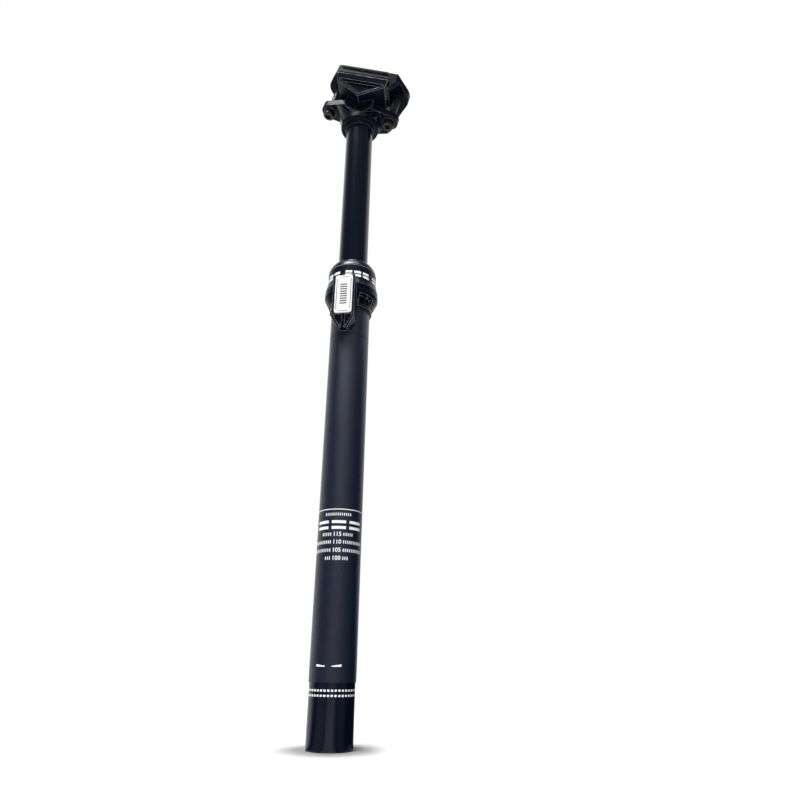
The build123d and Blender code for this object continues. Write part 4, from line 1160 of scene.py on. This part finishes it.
    def _flag(self) -> None:
        """Lean a dark board to the right of the post, for reflections only."""
        foot, head = Vector(self.flag_foot), Vector(self.flag_head)
        depth = Vector((0, self.flag_width, 0))
        mesh = bpy.data.meshes.new("studio_flag")
        mesh.from_pydata([foot, foot + depth, head + depth, head], [], [(0, 1, 2, 3)])
        board = add_object("studio_flag", mesh)
        board.visible_camera = False
        board.visible_shadow = False
        cloth = bpy.data.materials.new("black_studio_cloth")
        tree = empty_tree(cloth)
        matte = add_node(tree, "ShaderNodeBsdfDiffuse", {"Color": self.flag_colour})
        add_node(tree, "ShaderNodeOutputMaterial", {"Surface": matte.outputs[0]})
        mesh.materials.append(cloth)

    def _window(self, tree: Tree, way: Socket) -> Socket:
        """Make the soft bright window in front of the post.

        Args:
            tree: The world's tree.
            way: The direction of the ray.

        Returns:
            The socket of its share, from 0 to 1.
        """
        height = add_node(tree, "ShaderNodeSeparateXYZ", {0: way}).outputs["Z"]
        elevation = add_node(tree, "ShaderNodeMath", {0: height}, operation="ARCSINE").outputs[0]
        shares = []
        for angle, middle, reach in (
            (self._azimuth(tree, way), math.radians(self.window_azimuth), self.window_reach[0]),
            (elevation, math.radians(self.window_elevation), self.window_reach[1]),
        ):
            off = add_node(tree, "ShaderNodeMath", {0: angle, 1: middle}, operation="SUBTRACT")
            away = add_node(tree, "ShaderNodeMath", {0: off.outputs[0]}, operation="ABSOLUTE")
            inner = math.radians(max(reach - self.window_edge, 0.0))
            edge = {"Value": away.outputs[0], "From Min": math.radians(reach), "From Max": inner}
            fade = add_node(tree, "ShaderNodeMapRange", edge, interpolation_type="SMOOTHSTEP")
            shares.append(fade.outputs["Result"])
        return add_node(tree, "ShaderNodeMath", {0: shares[0], 1: shares[1]}, operation="MULTIPLY").outputs[0]

    def _world(self) -> None:
        """Make a white background, and a dim front of the room for the metal to show."""
        world = bpy.data.worlds.new("studio_world")
        tree = empty_tree(world)
        way = add_node(tree, "ShaderNodeTexCoord").outputs["Generated"]
        rays = add_node(tree, "ShaderNodeLightPath")
        height = add_node(tree, "ShaderNodeSeparateXYZ", {0: way}).outputs["Z"]
        low, high = (math.sin(math.radians(angle)) for angle in self.ceiling_edge)
        above = add_node(tree, "ShaderNodeMapRange", {"Value": height, "From Min": low, "From Max": high})
        colour = self._level(tree, way, self.room)
        for share, level in (
            (above.outputs["Result"], self.ceiling_level),
            (self._window(tree, way), self.window_level),
            (rays.outputs["Is Camera Ray"], 1.0),
        ):
            layer = {"Factor": share, "A": colour, "B": grey(level)}
            colour = add_node(tree, "ShaderNodeMix", layer, data_type="RGBA").outputs["Result"]
        sky = add_node(tree, "ShaderNodeBackground", {"Color": colour, "Strength": 1.0})
        add_node(tree, "ShaderNodeOutputWorld", {"Surface": sky.outputs[0]})
        bpy.context.scene.world = world


@dataclass(frozen=True)
class Viewpoint:
    """Where the photograph was taken from, solved from the outlines of tube, cap, collar and bolts."""

    place: Point = (0.05412, -0.385085, 0.043679)
    right: Point = (0.99909317, 0.04096857, 0.01159338)
    up: Point = (0.00542352, -0.39252803, 0.91972405)
    lens: float = 27.9
    sensor: float = 36.0

    def build(self) -> None:
        """Make the camera and choose it."""
        lens = bpy.data.cameras.new("photo_camera")
        lens.lens = self.lens
        lens.sensor_width = self.sensor
        lens.clip_start = NEAREST_SEEN
        camera = add_object("photo_camera", lens)
        right, up = Vector(self.right), Vector(self.up)
        turn = Matrix((right, up, right.cross(up))).transposed().to_4x4()
        camera.matrix_world = Matrix.Translation(self.place) @ turn
        bpy.context.scene.camera = camera


def clear_defaults() -> None:
    """Remove what Blender's empty file starts with."""
    for thing in list(bpy.data.objects):
        bpy.data.objects.remove(thing)


def main() -> None:
    """Build every sub-assembly in order."""
    logging.basicConfig(level=logging.INFO, format="%(name)s: %(message)s")
    clear_defaults()
    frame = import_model()
    bpy.context.scene.view_settings.view_transform = "Standard"
    nodes = frame["nodes"]
    dress_nodes(nodes)
    for print_kind in (TubePrint, CapPrint, CollarPrint, ShoulderLine, BadgeMarks, ValveCapGrip):
        print_kind().build(nodes)
    ClampDetail().build()
    Studio().build()
    Viewpoint().build()


if __name__ == "__main__":
    main()
